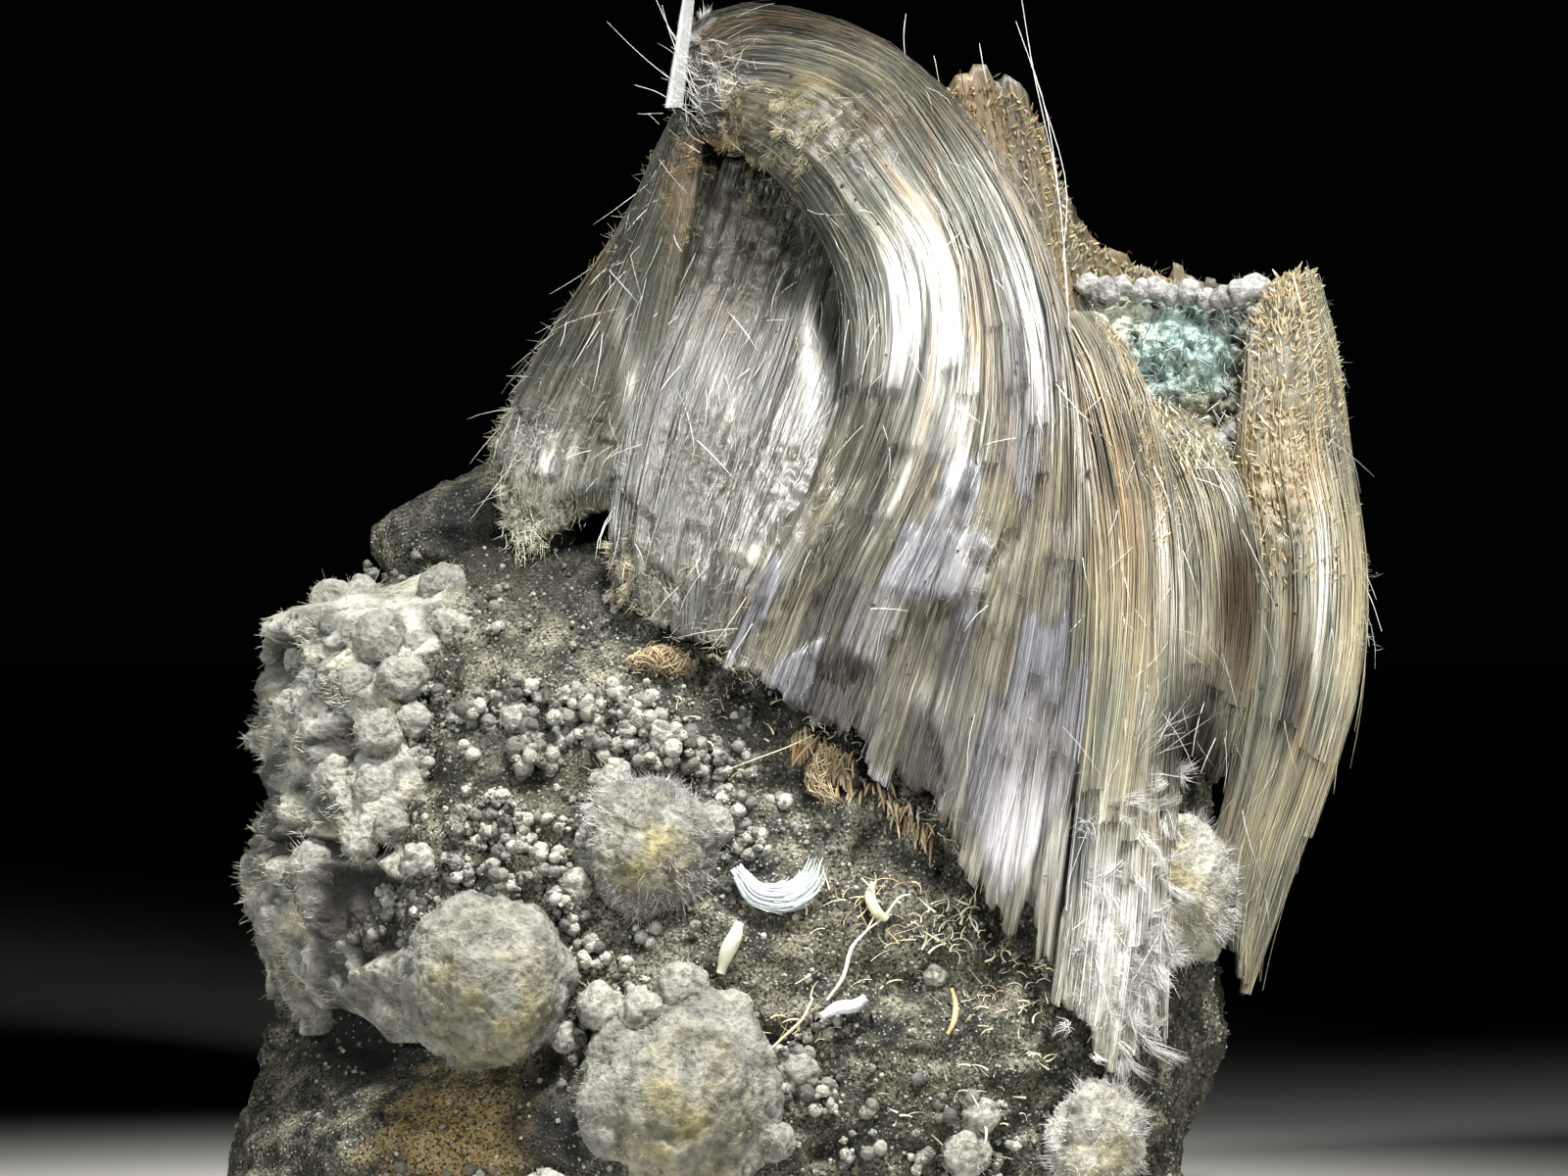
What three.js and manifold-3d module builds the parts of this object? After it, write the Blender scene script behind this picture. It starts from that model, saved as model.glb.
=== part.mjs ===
// A halotrichite hand specimen: silky, hair-like crystals in curved tresses on a dark host rock,
// with white puffs, beads and crusts. Millimetres, +Z up. The front of the specimen faces -Y.
// The origin is on the flat broken base that the rock stands on.
import * as THREE from "three";
import { mergeVertices } from "three/addons/utils/BufferGeometryUtils.js";
import Module from "manifold-3d";

const wasm = await Module();
wasm.setup();

// Driving dimensions
const gap = 0.3; // clearance between neighbouring pieces
const rockCentre = { x: -3, y: 0 };
const rockSquareness = 2.7; // exponent of the rock's rounded-square sections
const rockSides = 32;
const rockTiers = 13;
const lumpSize = 7; // wavelength of the rock's broken lumps
const lumpHeight = 1.5;
const lockGroove = 0.45; // share of a tress's front depth that the grooves between its locks take

// Outline of the rock at rising heights: height, left, right, front and back
const rockTier = [
  [0, -27, 20, -19, 16],
  [4, -26.6, 20.4, -19.6, 16.5],
  [9, -25, 22.2, -19, 17],
  [15, -25, 21.5, -17.5, 17],
  [21, -25.2, 21, -15.5, 16.5],
  [27.7, -23.8, 20.5, -12, 16],
  [30.5, -23.2, 20, -9.8, 15],
  [33.2, -17.4, 19, -6.4, 14],
  [36, -11, 16, -1.5, 12],
];

// Hollows (negative) and swellings (positive) of the rock's front face: x, z, half width, half height, depth
const rockDent = [
  [-19, 9.5, 5.5, 2.4, -4.5],
  [-17, 4.5, 6, 2, 1.5],
  [-6, 22.2, 5, 0.9, -1.6],
  [8, 12.5, 6, 1.1, -1.4],
  [9.5, 3, 1.8, 1.8, -2],
  [-11, 29, 5, 3, 1.4],
  [-26, 13, 3, 2.5, -1.6],
];

// The flat shelf of rock behind the dome: x, low z, high z, front y and back y along it
const ledgeStation = [
  [-21.2, 33.6, 35, 2.5, 5],
  [-18.5, 31, 37, 0.5, 8],
  [-15, 31, 38.6, 0, 10],
  [-11, 32, 38.4, 0.5, 11],
  [-7, 32, 37.6, 1.5, 11],
];

// A tress is a fan of locks between guide lines, left to right, each from top to bottom, points as x, y, z.
// front is how far it stands out of its guide surface and rear how far back it goes, at even steps from the top;
// ragged is how uneven the locks' ends are at top and bottom, as shares of their length, and backGroove how deep
// the grooves of a rear face go, as a share of its depth.
const tress = {
  fibre_wall: {
    locks: 13, front: [1.6, 3, 3], rear: [2, 3.6, 3.6], ragged: [0.03, 0.02], backGroove: 0.2,
    guides: [
      [[-4.8, 3, 55.8], [-7.2, 4, 47], [-9.5, 5, 38], [-11, 5, 31]],
      [[-0.8, 3.2, 58.6], [-0.8, 4.2, 49.5], [-1.2, 3, 39.5], [-2, 1.6, 31]],
      [[6, 4.4, 58.6], [6.8, 4.6, 49], [6, 3, 39.5], [5, 1.4, 31]],
      [[11.6, 5.6, 58.6], [12.6, 6, 48.5], [12.4, 4.6, 38], [11.5, 2.8, 28]],
      [[15, 7.4, 51.6], [15.6, 7.8, 43.5], [15.9, 7, 35], [16, 5.6, 27]],
      [[18.8, 9, 49.6], [19.4, 9.6, 42], [19.8, 8.8, 34], [20, 7.4, 26]],
      [[22.8, 9.2, 48.2], [23.6, 9.4, 41], [24.2, 8.8, 33], [24.4, 7.6, 24.5]],
      [[26.7, 7.6, 48], [27.1, 7.4, 40.5], [27.2, 6, 32.5], [26.6, 4.6, 24.5]],
    ],
  },
  main_tress: {
    locks: 13, front: [1.3, 1.9, 1.2], rear: [1.4, 1.8, 2.6, 2.6], ragged: [0.01, 0.012],
    guides: [
      [[-3.8, -0.8, 54.6], [-2, -1.8, 54], [-0.2, -3.2, 52.8], [1.5, -4.8, 50.8], [3, -6.6, 48],
        [3.6, -8.3, 44.8], [3, -10.2, 41], [1.2, -12.2, 36.8], [-1.4, -14.2, 32], [-3.4, -16, 27.4]],
      [[-4.2, -0.4, 56.2], [-1.8, -1.5, 56.4], [0.4, -3, 55.6], [2.7, -4.8, 53.7], [4.8, -6.8, 50.9],
        [6.7, -9, 47.5], [6.8, -11, 42.5], [5, -13.2, 37], [2.2, -15.4, 31.5], [0, -17.2, 26]],
      [[-4.6, 0.2, 57.8], [-1.9, -0.8, 58.5], [1, -1.9, 57.8], [4.3, -3.6, 56], [6.8, -6, 52.5],
        [8.8, -8.4, 48.2], [9.8, -11, 42.8], [9, -13.6, 37], [6.4, -16.2, 30.4], [4, -18.4, 22.6]],
      [[-4.9, 0.6, 59], [-2.1, 0.1, 59.8], [1.3, -0.7, 59], [4.8, -2.2, 57], [7.7, -4.6, 53.8],
        [10.2, -7.2, 49.5], [12, -10, 43.5], [12.2, -12.8, 37], [10.8, -16, 28.6], [8.4, -18.8, 17.6]],
      [[-5, 1.1, 59.9], [-2.3, 1.1, 60.8], [1.3, 0.7, 60], [5.3, -0.6, 57.6], [8.6, -3, 54.4],
        [11.2, -5.4, 50.2], [13.5, -8, 44.5], [14.9, -11, 37.5], [14.9, -14.6, 27.6], [12.9, -18.4, 11.8]],
    ],
  },
  hollow_wall: {
    locks: 8, front: [1.2, 1.8, 1.6], rear: [2, 2.8, 2.6], ragged: [0.02, 0.018],
    guides: [
      [[-4.6, 0.4, 54], [-5.8, 0, 48], [-6.8, -1.4, 44.5], [-7.6, -3.6, 40.5], [-8.4, -6.8, 36], [-8.6, -9.8, 31.4]],
      [[-1.6, 0, 53.6], [-3, -1, 47.6], [-4.2, -2.8, 44], [-5.4, -5.4, 40], [-6.4, -8.8, 35.2], [-7, -11.6, 30.2]],
      [[1.5, -0.8, 52], [0, -2.2, 46.8], [-1.3, -4.2, 43], [-2.8, -7.2, 38.5], [-4.2, -10.6, 33.8], [-5, -13.4, 28.8]],
      [[5.8, -3.4, 50], [5.6, -5.2, 46], [4.8, -7.2, 42], [3.2, -9.8, 37.8], [0.6, -12.6, 32.8], [-2.4, -15, 27.4]],
    ],
  },
  left_curtain: {
    locks: 6, front: [1.2, 1.7, 1.4], rear: [2.2, 3, 2.2], ragged: [0.02, 0.02],
    guides: [
      [[-5.2, 0.2, 56.4], [-7.5, 0, 51.2], [-10.2, -0.4, 47], [-12.8, -0.8, 42], [-14.3, -1.2, 39.8], [-14.6, -1.4, 38.2]],
      [[-4.8, 0, 56.2], [-6.4, -0.6, 51], [-8.4, -1.4, 46.5], [-10.5, -2.4, 42], [-12.2, -3.4, 38], [-12.9, -4.6, 34.2]],
      [[-3.9, -0.4, 56], [-4.5, -1.6, 51], [-5.5, -3, 46], [-6.7, -4.6, 41], [-7.8, -6, 38], [-8.4, -6.8, 35.6]],
    ],
  },
  tan_tress: {
    locks: 7, front: [1.4, 1.9, 1.4], rear: [2.5, 3, 2], ragged: [0.02, 0.02],
    guides: [
      [[13.2, -4.8, 45.2], [14.5, -7.6, 40], [15.1, -10.2, 34.5], [14.9, -13, 27.5], [13.9, -15.8, 19], [12.9, -17.8, 10.4]],
      [[14.6, -3, 45.8], [16.6, -6, 40.6], [17.8, -8.4, 34.5], [17.6, -11.4, 27.5], [16.8, -14.6, 19], [15.8, -17.2, 7.6]],
      [[15.2, -1.6, 45.8], [17.6, -4.8, 41], [19.2, -7.2, 35.5], [19.2, -10, 28.5], [19.1, -13, 20], [18.8, -16, 8.8]],
    ],
  },
  hanging_tress: {
    locks: 5, front: [1.3, 1.9, 1], rear: [1.8, 2.4, 1.4], ragged: [0.02, 0.03],
    guides: [
      [[16.4, -0.8, 41.2], [18.6, -3.6, 38.6], [19.8, -5.8, 35.2], [20, -7.4, 30.8], [19.5, -8.8, 27], [19, -9.6, 23.4]],
      [[17.4, 0, 41], [20, -2.6, 38.8], [21.5, -4.8, 35.2], [21.8, -6.4, 30.6], [21.3, -7.6, 26.2], [20.6, -8.4, 22]],
      [[18.4, 0.8, 40.6], [20.9, -1.2, 38.6], [22.5, -3.4, 35], [22.9, -5, 30.2], [22.5, -6.4, 25.8], [21.6, -7.2, 22]],
    ],
  },
  right_tress: {
    locks: 7, front: [1.2, 1.6, 0.7], rear: [2, 3, 1.2], ragged: [0.02, 0.02],
    guides: [
      [[24.4, 5.2, 46.4], [24, 3.4, 42], [23.5, 1.8, 38], [23.9, 0.6, 33.8], [23.9, -0.6, 29], [23, -1.8, 23.5],
        [21.8, -3, 18], [22, -3.8, 12.6]],
      [[25.4, 4.6, 47.8], [25.7, 2.6, 43], [25.4, 0.8, 38.5], [26, -0.6, 34], [25.8, -1.8, 29], [24.6, -2.8, 23.5],
        [23, -3.6, 18], [22.5, -4, 12]],
      [[26.4, 5.2, 48.4], [26.9, 3.4, 43], [27.1, 1.6, 38.5], [27.6, 0.2, 33.5], [27.4, -1, 28], [26.2, -2, 22.5],
        [24.4, -3, 17], [22.9, -3.6, 11.2]],
      [[27.1, 6, 48.2], [27.9, 4.6, 43], [28, 3.2, 38.5], [28.6, 2, 33], [28.2, 0.8, 27.5], [26.8, -0.4, 22.5],
        [25, -1.8, 17], [23, -3, 11]],
    ],
  },
};

// Crusty pocket at the upper right: how far back its front surface stands at rising heights, as z and y
const pocket = { left: 14.2, right: 27.1, back: 8.7, bowl: 1.2, lump: 0.7 };
const pocketRise = [
  [33, -0.6], [35, -1], [37, 0.8], [38.6, 3.2], [40.4, 5.2], [43, 5.4], [45.4, 4.8], [47.2, 5.6],
];

// Fuzzy balls on the rock: centre x, y, z, radii and how lumpy the surface is
const puff = {
  puff_large: { centre: [-14.4, -18.2, 12.8], size: [4.2, 3.6, 4.2], lump: 0.12, detail: 3 },
  puff_middle: { centre: [-6.7, -16.2, 19.3], size: [3.4, 2.9, 3.4], lump: 0.14, detail: 2 },
  puff_lower: { centre: [-4.9, -19, 7.2], size: [4.9, 3.4, 4.9], lump: 0.16, detail: 3 },
  puff_back: { centre: [-8, 16.6, 14], size: [5, 3, 4.4], lump: 0.16, detail: 2 },
  needle_tuft: { centre: [19.5, -12.1, 16.9], size: [2.9, 2.6, 3.6], lump: 0.2, detail: 1 },
  lower_tuft: { centre: [15.4, -17, 4.9], size: [2.2, 1.9, 2.8], lump: 0.2, detail: 1 },
};

// Crust that coats the rock's left edge, as turns around the rock and heights
const leftCrust = { from: 0.455, to: 0.632, low: 10, high: 32.6, narrow: 0.03, thick: 1.4, sides: 8, rows: 10, lump: 0.9 };

// Beads of the grape-like bands on the rock's front: x, z and radius
const beads = [
  [-15, 25.8, 1.1], [-13.2, 26.6, 1], [-11.6, 25.4, 1.2], [-10, 26, 1.1], [-8.6, 24.8, 1],
  [-12.4, 23.6, 1.1], [-7, 24.8, 1], [-5.2, 24, 1], [-3.6, 23.4, 0.9], [-15.4, 20.2, 0.9],
  [-13.2, 20.6, 0.8], [-16, 18.2, 0.9], [-13.8, 18, 1], [-11.4, 18.4, 0.9], [-11, 16.6, 0.9],
  [-2.4, 21, 0.9], [-1.6, 19.4, 0.8], [-9.4, 14, 0.9], [0.8, 9.4, 0.8], [1.6, 7, 0.9],
];

// Curled crystals that lie on the rock: points as x, z; they rest on the rock's front face
const curl = {
  white_curl: { path: [[-2.4, 18.4], [-1.4, 17.1], [0, 16.9], [1.2, 17.6], [1.8, 19]], width: 0.75, thick: 0.5 },
  tan_curl_left: { path: [[-7.6, 28.1], [-6.5, 28.5], [-5.4, 28.3], [-4.4, 28.5]], width: 0.55, thick: 0.5 },
  tan_curl_right: { path: [[2.2, 24.2], [1.6, 22.6], [2.8, 21.2]], width: 0.5, thick: 0.5 },
};

// Flat blade at the top left, as foot and head
const blade = { foot: [-5.6, -1.4, 56.4], head: [-4.5, -0.8, 64.6], width: 0.9, thick: 0.6 };

const colour = {
  rock: 0x4b4a3e, silk: 0xdcd9cc, tan: 0xc9a46e, grey: 0xbdbcae, crust: 0xcac7b8, puff: 0xc8c4ae,
  curlWhite: 0xd8e6ea, pocket: 0xa9b8a6,
};

// Repeatable irregularity from -1 to 1
function hash(a, b = 0, c = 0) {
  const s = Math.sin(a * 127.1 + b * 311.7 + c * 74.7) * 43758.5453;
  return (s - Math.floor(s)) * 2 - 1;
}

// Smooth lumps from -1 to 1: hashed values on a lattice, blended between its corners
function noise(x, y, z) {
  const cell = [x, y, z].map(Math.floor);
  const ease = [x, y, z].map((v, i) => (v - cell[i]) ** 2 * (3 - 2 * (v - cell[i])));
  let sum = 0;
  for (let corner = 0; corner < 8; corner++) {
    const bit = [corner & 1, (corner >> 1) & 1, (corner >> 2) & 1];
    const share = bit.reduce((w, b, i) => w * (b ? ease[i] : 1 - ease[i]), 1);
    sum += share * hash(cell[0] + bit[0], cell[1] + bit[1], cell[2] + bit[2]);
  }
  return sum;
}

// Weights of n control points on a Catmull-Rom curve at t from 0 to 1
function weights(t, n) {
  const s = Math.min(Math.max(t, 0), 1) * (n - 1);
  const i = Math.min(Math.floor(s), n - 2);
  const f = s - i;
  const w = new Array(n).fill(0);
  const four = [
    (-f + 2 * f * f - f ** 3) / 2, (2 - 5 * f * f + 3 * f ** 3) / 2,
    (f + 4 * f * f - 3 * f ** 3) / 2, (-f * f + f ** 3) / 2,
  ];
  four.forEach((value, k) => {
    const at = i - 1 + k;
    if (at < 0) {
      w[0] += 2 * value;
      w[1] -= value;
    } else if (at > n - 1) {
      w[n - 1] += 2 * value;
      w[n - 2] -= value;
    } else w[at] += value;
  });
  return w;
}

// Value of a list of numbers at t from 0 to 1, on a smooth curve
const along = (list, t) => weights(t, list.length).reduce((sum, w, i) => sum + w * list[i], 0);

// Straight-line value of rows [key, value...] at a key
function between(rows, key, column) {
  const i = Math.min(Math.max(rows.findIndex((row) => row[0] > key), 1), rows.length - 1);
  const above = key >= rows[rows.length - 1][0] ? rows.length - 1 : i;
  const [a, b] = [rows[above - 1], rows[above]];
  const f = Math.min(Math.max((key - a[0]) / (b[0] - a[0]), 0), 1);
  return a[column] + (b[column] - a[column]) * f;
}

// A solid from a three.js geometry whose every vertex is moved by place
function warped(geometry, place) {
  const bare = geometry.index ? geometry.toNonIndexed() : geometry.clone();
  bare.deleteAttribute("normal");
  bare.deleteAttribute("uv");
  const merged = mergeVertices(bare, 1e-4);
  const position = merged.getAttribute("position");
  const point = new THREE.Vector3();
  for (let i = 0; i < position.count; i++) {
    point.copy(place(new THREE.Vector3().fromBufferAttribute(position, i)));
    position.setXYZ(i, point.x, point.y, point.z);
  }
  const mesh = new wasm.Mesh({
    numProp: 3,
    vertProperties: position.array,
    triVerts: new Uint32Array(merged.index.array),
  });
  return new wasm.Manifold(mesh);
}

// The biggest body of a solid, without the scraps that a cut leaves
function biggest(solid) {
  return solid.decompose().reduce((best, body) => (body.volume() > best.volume() ? body : best));
}

// A point of the rock's skin at a turn from 0 to 1 (0 is +X, 0.75 is the front) and a height
function rockSkin(turn, z, out = 0) {
  const angle = turn * 2 * Math.PI;
  const [c, s] = [Math.cos(angle), Math.sin(angle)];
  const side = Math.abs(between(rockTier, z, c > 0 ? 2 : 1) - rockCentre.x);
  const depth = Math.abs(between(rockTier, z, s < 0 ? 3 : 4) - rockCentre.y);
  const n = rockSquareness;
  const reach = (Math.abs(c / side) ** n + Math.abs(s / depth) ** n) ** (-1 / n);
  const x = rockCentre.x + c * reach;
  const y = rockCentre.y + s * reach;
  let lift = lumpHeight * noise(x / lumpSize, y / lumpSize, z / lumpSize + 5);
  lift += 0.5 * lumpHeight * noise(x / 3, y / 3, z / 3 + 9);
  if (s < 0)
    for (const [dx, dz, w, h, d] of rockDent) lift += d * Math.exp(-(((x - dx) / w) ** 2) - ((z - dz) / h) ** 2);
  return new THREE.Vector3(x + c * (lift + out), y + s * (lift + out), z);
}

function rockBody(out = 0) {
  const top = rockTier[rockTier.length - 1][0];
  const shape = new THREE.CylinderGeometry(1, 1, 1, rockSides, rockTiers);
  return warped(shape, (p) => {
    const z = (p.y + 0.5) * top;
    const skin = rockSkin(-Math.atan2(p.z, p.x) / (2 * Math.PI), z, out);
    const share = Math.hypot(p.x, p.z);
    const x = rockCentre.x + (skin.x - rockCentre.x) * share;
    const y = rockCentre.y + (skin.y - rockCentre.y) * share;
    return new THREE.Vector3(x, y, z + (p.y > 0 ? out : 0));
  });
}

function rockLedge(out = 0) {
  const [first, last] = [ledgeStation[0][0], ledgeStation[ledgeStation.length - 1][0]];
  const shape = new THREE.CylinderGeometry(1, 1, 1, 12, 6);
  return warped(shape, (p) => {
    const x = first + (p.y + 0.5) * (last - first);
    const [low, high, front, back] = [1, 2, 3, 4].map((column) => between(ledgeStation, x, column));
    const rough = 1 + 0.12 * noise(x / 2.2, p.x * 2, p.z * 2);
    const y = (front + back) / 2 - p.z * ((back - front) / 2 + out) * rough;
    const z = (low + high) / 2 - p.x * ((high - low) / 2 + out) * rough;
    return new THREE.Vector3(x + (p.y < 0 ? -out : out), y, z);
  });
}

// The y of the rock's front face at x and z
function rockFront(x, z) {
  let [low, high] = [0.5, 0.75];
  if (x > rockCentre.x) [low, high] = [1, 0.75];
  for (let i = 0; i < 24; i++) {
    const middle = (low + high) / 2;
    if ((rockSkin(middle, z).x - x) * (x > rockCentre.x ? 1 : -1) > 0) low = middle;
    else high = middle;
  }
  return rockSkin((low + high) / 2, z).y;
}

const unitBall = (detail) => new THREE.IcosahedronGeometry(1, detail);

function beadBody([x, z, radius]) {
  const y = rockFront(x, z);
  const size = radius * 1.2;
  return warped(unitBall(0), (p) => p.multiplyScalar(size).add(new THREE.Vector3(x, y, z)));
}

// A point of a tress's guide surface: u across its guides, v from root to tip
function guidePoint(guides, u, v) {
  const across = weights(u, guides.length);
  const down = weights(v, guides[0].length);
  const point = new THREE.Vector3();
  across.forEach((a, i) => down.forEach((d, j) => point.addScaledVector(new THREE.Vector3(...guides[i][j]), a * d)));
  return point;
}

// The way out of a tress's guide surface, towards the front
function guideOut(guides, u, v) {
  const [wide, step] = [0.14, 0.04];
  const [a, b] = [Math.min(Math.max(u, wide), 1 - wide), Math.min(Math.max(v, step), 1 - step)];
  const down = guidePoint(guides, a, b + step).sub(guidePoint(guides, a, b - step));
  const across = guidePoint(guides, a + wide, b).sub(guidePoint(guides, a - wide, b));
  return new THREE.Vector3().crossVectors(down, across).normalize();
}

// A tress as one closed fan: each lock is a ridge two columns wide, with an end of its own
function tressBody({ guides, locks, front, rear, ragged, backGroove = 0 }, out = 0) {
  const rings = guides[0].length + 1;
  return warped(new THREE.BoxGeometry(1, 1, 1, 2 * locks, 1, rings), (p) => {
    const column = Math.round((p.x + 0.5) * 2 * locks);
    const ridge = column % 2;
    const u = column / (2 * locks);
    const index = Math.floor(column / 2);
    const first = ragged[0] * (1 + (ridge ? hash(index, locks) : 1));
    const last = 1 - ragged[1] * (1 + (ridge ? hash(index, locks + 1) : 1));
    const v = first + (last - first) * (0.5 - p.z);
    const rim = Math.min(1, 0.35 + 5 * Math.min(u, 1 - u)) * Math.min(1, 0.5 + 5 * (0.5 - Math.abs(p.z)));
    const proud = 1 - lockGroove * (1 - ridge) + 0.2 * ridge * hash(index, 3);
    const hollowed = 1 - backGroove * (1 - ridge);
    const side = (column === 0 ? -out : 0) + (column === 2 * locks ? out : 0);
    const end = (p.z > 0.499 ? out : 0) - (p.z < -0.499 ? out : 0);
    const point = guidePoint(guides, u, v).add(new THREE.Vector3(side, 0, end));
    if (p.y < 0) point.addScaledVector(guideOut(guides, u, v), along(front, v) * rim * proud + out);
    else point.y += along(rear, v) * rim * hollowed + out;
    return point;
  });
}

function puffBody({ centre, size, lump, detail }, out = 0) {
  return warped(unitBall(detail), (p) => {
    const swell = 1 + lump * noise(p.x * 2.3 + centre[0], p.y * 2.3, p.z * 2.3 + centre[2]);
    return new THREE.Vector3(
      centre[0] + p.x * (size[0] * swell + out),
      centre[1] + p.y * (size[1] * swell + out),
      centre[2] + p.z * (size[2] * swell + out),
    );
  });
}

function leftCrustBody() {
  const { from, to, low, high, narrow, thick, sides, rows, lump } = leftCrust;
  return warped(new THREE.BoxGeometry(1, 1, 1, sides, 1, rows), (p) => {
    const [s, t] = [0.5 - p.x, p.z + 0.5];
    const ragged = 1.1 * noise(s * 5, t * 6, 3);
    const z = low + (high - low) * t + ragged * (t > 0.5 ? 1 : -1) * Math.abs(2 * t - 1);
    const turn = from + (to - narrow * t - from) * s;
    const rim = Math.min(1, 6 * Math.min(s, 1 - s), 6 * Math.min(t, 1 - t));
    const skin = rockSkin(turn, z);
    const swell = thick * (0.45 + 0.55 * rim) + lump * rim * noise(skin.x / 1.9, skin.y / 1.9, skin.z / 1.9);
    return rockSkin(turn, z, p.y > 0 ? gap + Math.max(swell, 0.5) : -1);
  });
}

function pocketBody(out = 0) {
  const { left, right, back, bowl, lump } = pocket;
  const [first, last] = [pocketRise[0][0], pocketRise[pocketRise.length - 1][0]];
  return warped(new THREE.BoxGeometry(1, 1, 1, 9, 1, 9), (p) => {
    const x = left + (right - left) * (p.x + 0.5);
    const z = first + (last - first) * (p.z + 0.5);
    const side = 2 * p.x;
    const rough = lump * noise(x / 1.7, 4, z / 1.7) + 0.6 * lump * noise(x / 0.9, 7, z / 0.9);
    const bowled = between(pocketRise, z, 1) - bowl * side * side * (side > 0 ? 1.7 : 0.5) + rough;
    const round = Math.max(side ** 6, (2 * p.z) ** 6);
    const y = bowled + (back - 1.4 - bowled) * round;
    const grow = new THREE.Vector3(2 * p.x * out, p.y < 0 ? -out : out, 2 * p.z * out);
    return new THREE.Vector3(x, p.y < 0 ? y : back, z).add(grow);
  });
}

// A curled crystal that lies on the rock's front face
function curlBody({ path, width, thick }) {
  const points = path.map(([x, z]) => new THREE.Vector3(x, rockFront(x, z) - thick - gap, z));
  const middle = points.reduce((sum, p) => sum + p.y, 0) / points.length;
  points.forEach((p) => (p.y = Math.min(p.y, middle)));
  const curve = new THREE.CatmullRomCurve3(points);
  return warped(new THREE.CylinderGeometry(1, 1, 1, 5, 7), (p) => {
    const t = p.y + 0.5;
    const taper = 0.35 + 0.65 * Math.sin(Math.PI * Math.min(Math.max(t, 0.08), 0.92)) ** 0.7;
    const forward = curve.getTangentAt(t);
    const across = new THREE.Vector3().crossVectors(forward, new THREE.Vector3(0, -1, 0)).normalize();
    const out = new THREE.Vector3().crossVectors(across, forward);
    const centre = curve.getPointAt(t);
    return centre.addScaledVector(across, p.x * width * taper).addScaledVector(out, p.z * thick * taper);
  });
}

function bladeBody() {
  const [foot, head] = [new THREE.Vector3(...blade.foot), new THREE.Vector3(...blade.head)];
  return warped(new THREE.CylinderGeometry(1, 1, 1, 6, 3), (p) => {
    const t = p.y + 0.5;
    const narrow = 1 - 0.45 * t;
    const centre = foot.clone().lerp(head, t);
    return centre.add(new THREE.Vector3(p.x * blade.width * narrow / 2, -p.z * blade.thick * narrow / 2, 0));
  });
}

// The rock, its ledge and its beads, and copies of the pieces grown by the gap that cut their neighbours
const rockSolid = beads.map(beadBody).reduce((sum, bead) => sum.add(bead), rockBody().add(rockLedge()));
const rockRoom = rockBody(gap).add(rockLedge(gap));
const beadRoom = (list) => list.map(([x, z, r]) => beadBody([x, z, r + gap])).reduce((a, b) => a.add(b));

const tint = {
  fibre_wall: "tan", main_tress: "silk", hollow_wall: "grey", left_curtain: "grey",
  tan_tress: "tan", hanging_tress: "silk", right_tress: "silk",
};
const made = new Map([["matrix_rock", [biggest(rockSolid), "rock"]]]);
let taken = rockRoom.add(beadRoom(beads));

// Each piece is cut by the rock and by the pieces made before it
function settle(name, body, room, tintName) {
  made.set(name, [biggest(body.subtract(taken)), tintName]);
  taken = taken.add(room);
}

for (const [name, spec] of Object.entries(tress)) {
  settle(name, tressBody(spec), tressBody(spec, gap), tint[name]);
  if (name === "fibre_wall") settle("pocket_crust", pocketBody(), pocketBody(1.6 * gap), "pocket");
}
for (const [name, spec] of Object.entries(puff)) settle(name, puffBody(spec), puffBody(spec, gap), "puff");
made.set("left_crust", [biggest(leftCrustBody().subtract(taken)), "crust"]);
for (const [name, spec] of Object.entries(curl)) {
  made.set(name, [biggest(curlBody(spec).subtract(taken)), name === "white_curl" ? "curlWhite" : "tan"]);
}
made.set("blade_crystal", [biggest(bladeBody().subtract(taken)), "silk"]);

// A named mesh from a solid
function meshOf(name, solid, tintName) {
  const { vertProperties, triVerts, numProp, numVert } = solid.getMesh();
  const position = new Float32Array(numVert * 3);
  for (let i = 0; i < numVert; i++) position.set(vertProperties.subarray(i * numProp, i * numProp + 3), i * 3);
  const geometry = new THREE.BufferGeometry();
  geometry.setAttribute("position", new THREE.BufferAttribute(position, 3));
  geometry.setIndex(new THREE.BufferAttribute(triVerts, 1));
  const silky = ["silk", "tan", "grey"].includes(tintName);
  const material = new THREE.MeshStandardMaterial({
    color: colour[tintName], roughness: silky ? 0.35 : 0.9, metalness: 0,
  });
  const mesh = new THREE.Mesh(geometry, material);
  mesh.name = name;
  return mesh;
}

const specimen = new THREE.Group();
for (const [name, [solid, tintName]] of made) specimen.add(meshOf(name, solid, tintName));

export default specimen;
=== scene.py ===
# Halotrichite hand specimen: silky tresses of hair-like crystals on a dark host rock,
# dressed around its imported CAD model. Lengths in the dictionaries are millimetres.
import math

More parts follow.
